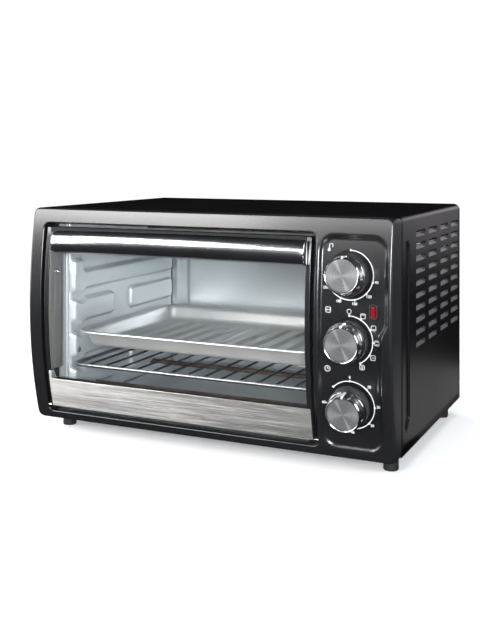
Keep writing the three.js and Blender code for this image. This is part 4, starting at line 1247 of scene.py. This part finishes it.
class OVEN_OT_rack(OvenOperator):
    """Wire rack: round sections carried along a round-cornered frame loop and along the wires across it,
    which turn down over its front and back bars"""
    bl_idname = "oven.rack"
    bl_label = "Wire rack"

    def build(self, f, s):
        low, high = node_box("wire_rack")
        r, wire, level = 2.15, 1.35, 61.0
        outline = dict(x0=low[0] + r, x1=high[0] - r, z0=low[1] + r, z1=high[1] - r, radius=9.0)
        ring = loop(**outline, counts=(20, 24, 20, 24), bend=9)
        frame_bar = Shape().grid(tube(raised(ring, level, "z"), r, 14, closed=True), wrap_rows=True)
        piece("rack_frame", frame_bar, f["wire_chrome"], "rack_body", sharp=50)
        shape = Shape()
        count = 13
        front, back = low[1] + r, high[1] - r
        for i in range(count):
            x = outline["x0"] + (outline["x1"] - outline["x0"]) * (i + 1) / (count + 1)
            y = np.concatenate([[front - 0.6, front - 0.1, front + 1.0, front + 3.0],
                                np.linspace(front + 6, back - 6, 10),
                                [back - 3.0, back - 1.0, back + 0.1, back + 0.6]])
            drop = np.array([1.2, 0.4, 0.1, 0.0] + [0.0] * 10 + [0.0, 0.1, 0.4, 1.2])
            path = np.column_stack([np.full(len(y), x), y, level + 1.15 - drop])
            shape.grid(tube(path, wire, 10, up=(1, 0, 0)), caps=True)
        # The wires' finish is the chrome painted darker as painted shade.
        piece("rack_wires", shape, f["wire_dark"], "rack_body", ["wire_rack"], 50)


class OVEN_OT_tray(OvenOperator):
    """Baking tray: one closed pan surface of round-cornered rings, out over the rolled rim, down the slope
    and across a corrugated bottom, then back underneath"""
    bl_idname = "oven.tray"
    bl_label = "Baking tray"

    def build(self, f, s):
        low, high = node_box("baking_tray")
        rim, bottom = high[2], low[2]
        outer = dict(x0=low[0], x1=high[0], z0=low[1], z1=high[1], radius=24.0)
        counts = (50, 150, 50, 150)
        centre = (high + low)[:2] / 2
        rib_pitch, rib_height = 24.5, 3.0

        def corrugation(x, y):
            """Sawtooth ribs that run front to back and fade out towards the slope."""
            inside = box_distance(x, y, low[0] + 27, high[0] - 27, low[1] + 28, high[1] - 28, 6)
            across = ((x - centre[0]) / rib_pitch) % 1.0
            return rib_height * np.minimum(across / 0.91, (1 - across) / 0.09) * step(3, -6, inside)

        def rounds(profile):
            """Round-cornered rings from pairs of inset and height."""
            return [raised(loop(**outer, grow=-inset, counts=counts), z, "z") for inset, z in profile]

        def surface(top):
            """One skin's rings, from the rim's edge down the slope and across to the middle."""
            lift = 1.0 if top else 0.0
            wall = [(2.2, rim - 0.9 + lift * 0.6), (5.5, rim - 1.0 + lift * 0.6),
                    (8.0, rim - 1.5 + lift * 0.7), (9.2, rim - 3.0 + lift), (10.3, rim - 6.0 + lift),
                    (13.6, bottom + 6.4 + lift), (14.8, bottom + 3.2 + lift), (16.6, bottom + 1.2 + lift),
                    (19.4, bottom + 0.2 + lift), (23.0, bottom + lift * 0.9)]
            rings = rounds(wall)
            last = loop(**outer, grow=-23.0, counts=counts)
            for t in np.linspace(1, 0, 46)[1:]:
                ring = centre + (last - centre) * t
                z = bottom + lift * 0.9 + corrugation(*ring.T)
                rings.append(np.column_stack([ring, z]))
            return rings

        curl = [(1.0, 1.1), (0.4, 1.7), (0.5, 2.4), (1.2, 2.6), (0.0, 2.3), (0.0, 1.2), (0.5, 0.35),
                (1.3, 0.02)]
        rolled = rounds([(inset, rim - below) for inset, below in curl])
        rows = surface(False)[::-1] + rolled + surface(True)
        shape = Shape().grid(np.array(rows))
        piece("tray_pan", shape, f["tray_metal"], "tray_body", ["baking_tray"], 60)


class OVEN_OT_inside(OvenOperator):
    """Gives the carried-over inner parts their finishes"""
    bl_idname = "oven.inside"
    bl_label = "Inner parts"

    looks = {"rear_panel": "powder_coat", "base_pan": "powder_coat", "control_bracket": "zinc",
             "thermostat": "ceramic", "selector_switch": "zinc", "timer": "zinc", "lamp_bulb": "clear",
             "terminal_block": "ceramic", "cord_gland": "dull_black"}

    def build(self, f, s):
        for node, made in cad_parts.items():
            kind = "ceramic" if "insulator" in node else "zinc" if node.endswith("_shaft") else None
            look = kind or self.looks.get(node)
            if look:
                made.data.materials.clear()
                made.data.materials.append(f[look])


class OVEN_OT_stage(OvenOperator):
    """Pale floor, white surround, soft studio lights and the camera"""
    bl_idname = "oven.stage"
    bl_label = "Stage"

    camera_place, camera_turn = (508.1, -997.3, 322.2), 25.135
    lens, shift_y = 53.96, -0.2568
    floor_half = 0.95
    lights = (
        # name, place and target in metres, size, power, colour, seen in reflections
        ("left_key", (-1.25, -1.70, 1.03), (-0.05, -0.15, 0.17), (1.25, 0.86), 50.0, (1.0, 1.0, 0.99), True),
        ("long_strip", (-0.3, -1.95, 0.80), (-0.05, -0.15, 0.2), (2.3, 0.16), 11.0, (1.0, 1.0, 1.0), True),
        ("backdrop", (-1.0, -2.5, 0.75), (-0.05, -0.15, 0.17), (2.8, 1.7), 1.7, (1.0, 1.0, 1.0), True),
        ("left_side", (-1.5, -0.7, 0.45), (0.0, -0.1, 0.15), (1.2, 0.88), 16.0, (0.98, 0.99, 1.0), True),
        ("overhead", (0.0, -0.1, 1.7), (0.0, 0.0, 0.0), (1.8, 1.6), 27.0, (1.0, 1.0, 1.0), False),
        ("front_fill", (0.8, -1.8, 0.5), (-0.04, 0.1, 0.12), (0.6, 0.4), 48.0, (0.95, 0.985, 1.0), True),
        ("right_card", (0.35, 0.225, 0.003), (0.35, 0.225, 1.0), (0.22, 0.44), 0.115, (1.0, 0.98, 1.0), True),
        ("rear_high", (0.58, 1.5, 0.52), (0.2, 0.1, 0.15), (0.6, 0.24), 0.85, (1.0, 0.95, 0.97), True),
        ("rear_low", (0.70, 1.45, 0.24), (0.2, 0.1, 0.15), (0.24, 0.3), 0.3, (1.0, 0.96, 1.0), True),
        ("rear_right", (1.5, 0.1, 0.7), (0.1, -0.1, 0.14), (0.7, 0.8), 13.0, (0.88, 0.95, 1.0), True),
        ("rear_left", (-0.9, 1.2, 1.9), (0.0, 0.1, 0.14), (0.8, 0.8), 5.0, (1.0, 1.0, 1.0), False),
    )

    def build(self, f, s):
        scene = bpy.context.scene
        data = bpy.data.cameras.new("camera")
        data.lens, data.sensor_width, data.shift_y = self.lens, 36.0, self.shift_y
        data.clip_start, data.clip_end = 0.05, 20.0
        camera = bpy.data.objects.new("camera", data)
        camera.location = tuple((np.array(self.camera_place) + SHIFT) / MM)
        camera.rotation_euler = (math.pi / 2, 0, math.radians(self.camera_turn))
        scene.collection.objects.link(camera)
        scene.camera = camera
        for name, place_at, target, size, power, tint, mirrored in self.lights:
            lamp = bpy.data.lights.new(name, "AREA")
            lamp.shape, lamp.size, lamp.size_y = "RECTANGLE", size[0], size[1]
            lamp.energy, lamp.color = power, tint
            holder = bpy.data.objects.new(name, lamp)
            holder.location = place_at
            towards = type(holder.location)(target) - holder.location
            holder.rotation_euler = towards.to_track_quat("-Z", "Y").to_euler()
            holder.visible_camera = False
            holder.visible_glossy = mirrored
            scene.collection.objects.link(holder)
        # White for the camera; for light and reflections, a faint blue fill from everywhere but behind.
        scene.world = bpy.data.worlds.new("studio")
        sky = Paint("studio", scene.world)
        ahead = sky.math("LESS_THAN", sky.axis(sky.node("ShaderNodeTexCoord", output="Generated"), 1), 0.3)
        fill = sky.node("ShaderNodeBackground", inputs={"Color": (0.8, 0.88, 1, 1), "Strength": ahead * 0.02})
        seen = sky.node("ShaderNodeBackground", inputs={"Color": (1, 1, 1, 1), "Strength": 1.05})
        rays = sky.node("ShaderNodeLightPath", output="Is Camera Ray")
        sky.node("ShaderNodeOutputWorld", inputs=[sky.node("ShaderNodeMixShader", inputs=[rays, fill, seen])])
        xy = np.linspace(-self.floor_half, self.floor_half, 7)
        x, y = np.meshgrid(xy, xy, indexing="ij")
        grid = np.stack([x * MM, y * MM - SHIFT[1], np.full(x.shape, -SHIFT[2] - 0.02)], -1)
        shape = Shape().grid(grid, wrap_columns=False)
        points = (np.concatenate(shape.points) + SHIFT) / MM
        mesh = bpy.data.meshes.new("floor")
        mesh.from_pydata(points.tolist(), [], shape.faces)
        p = Paint("floor")
        cloud = p.noise(3.0, 2.0)
        mesh.materials.append(p.finish({"Base Color": p.mix(cloud, (0.86, 0.86, 0.87), (0.9, 0.9, 0.9)),
                                        "Roughness": 0.9, "Specular IOR Level": 0.1,
                                        "Emission Color": (1, 1, 1, 1), "Emission Strength": 0.16}))
        floor = bpy.data.objects.new("floor", mesh)
        floor.visible_glossy = False
        scene.collection.objects.link(floor)
        scene.view_settings.view_transform = "Standard"


OPERATORS = (OVEN_OT_fascia, OVEN_OT_cabinet, OVEN_OT_dials, OVEN_OT_knobs, OVEN_OT_lamp, OVEN_OT_door,
             OVEN_OT_trim, OVEN_OT_handle, OVEN_OT_cooking_space, OVEN_OT_elements, OVEN_OT_rack,
             OVEN_OT_tray, OVEN_OT_inside, OVEN_OT_stage)


class OVEN_PT_panel(bpy.types.Panel):
    """Lists the oven's settings and the operators that build it"""
    bl_idname = "OVEN_PT_panel"
    bl_label = "Toaster Oven"
    bl_space_type = "VIEW_3D"
    bl_region_type = "UI"
    bl_category = "Oven"

    def draw(self, context):
        scene = context.scene
        for group, names in ((scene.oven_sizes, OvenSizes), (scene.oven_colours, OvenColours)):
            for name in names.__annotations__:
                self.layout.prop(group, name)
        for operator in OPERATORS:
            self.layout.operator(operator.bl_idname)


CLASSES = (OvenSizes, OvenColours, *OPERATORS, OVEN_PT_panel)


def register():
    for made in CLASSES:
        bpy.utils.register_class(made)
    bpy.types.Scene.oven_sizes = PointerProperty(type=OvenSizes)
    bpy.types.Scene.oven_colours = PointerProperty(type=OvenColours)


def unregister():
    del bpy.types.Scene.oven_colours
    del bpy.types.Scene.oven_sizes
    for made in reversed(CLASSES):
        bpy.utils.unregister_class(made)


def main():
    register()
    for operator in OPERATORS:
        group, name = operator.bl_idname.split(".")
        getattr(getattr(bpy.ops, group), name)()


if __name__ == "__main__":
    main()
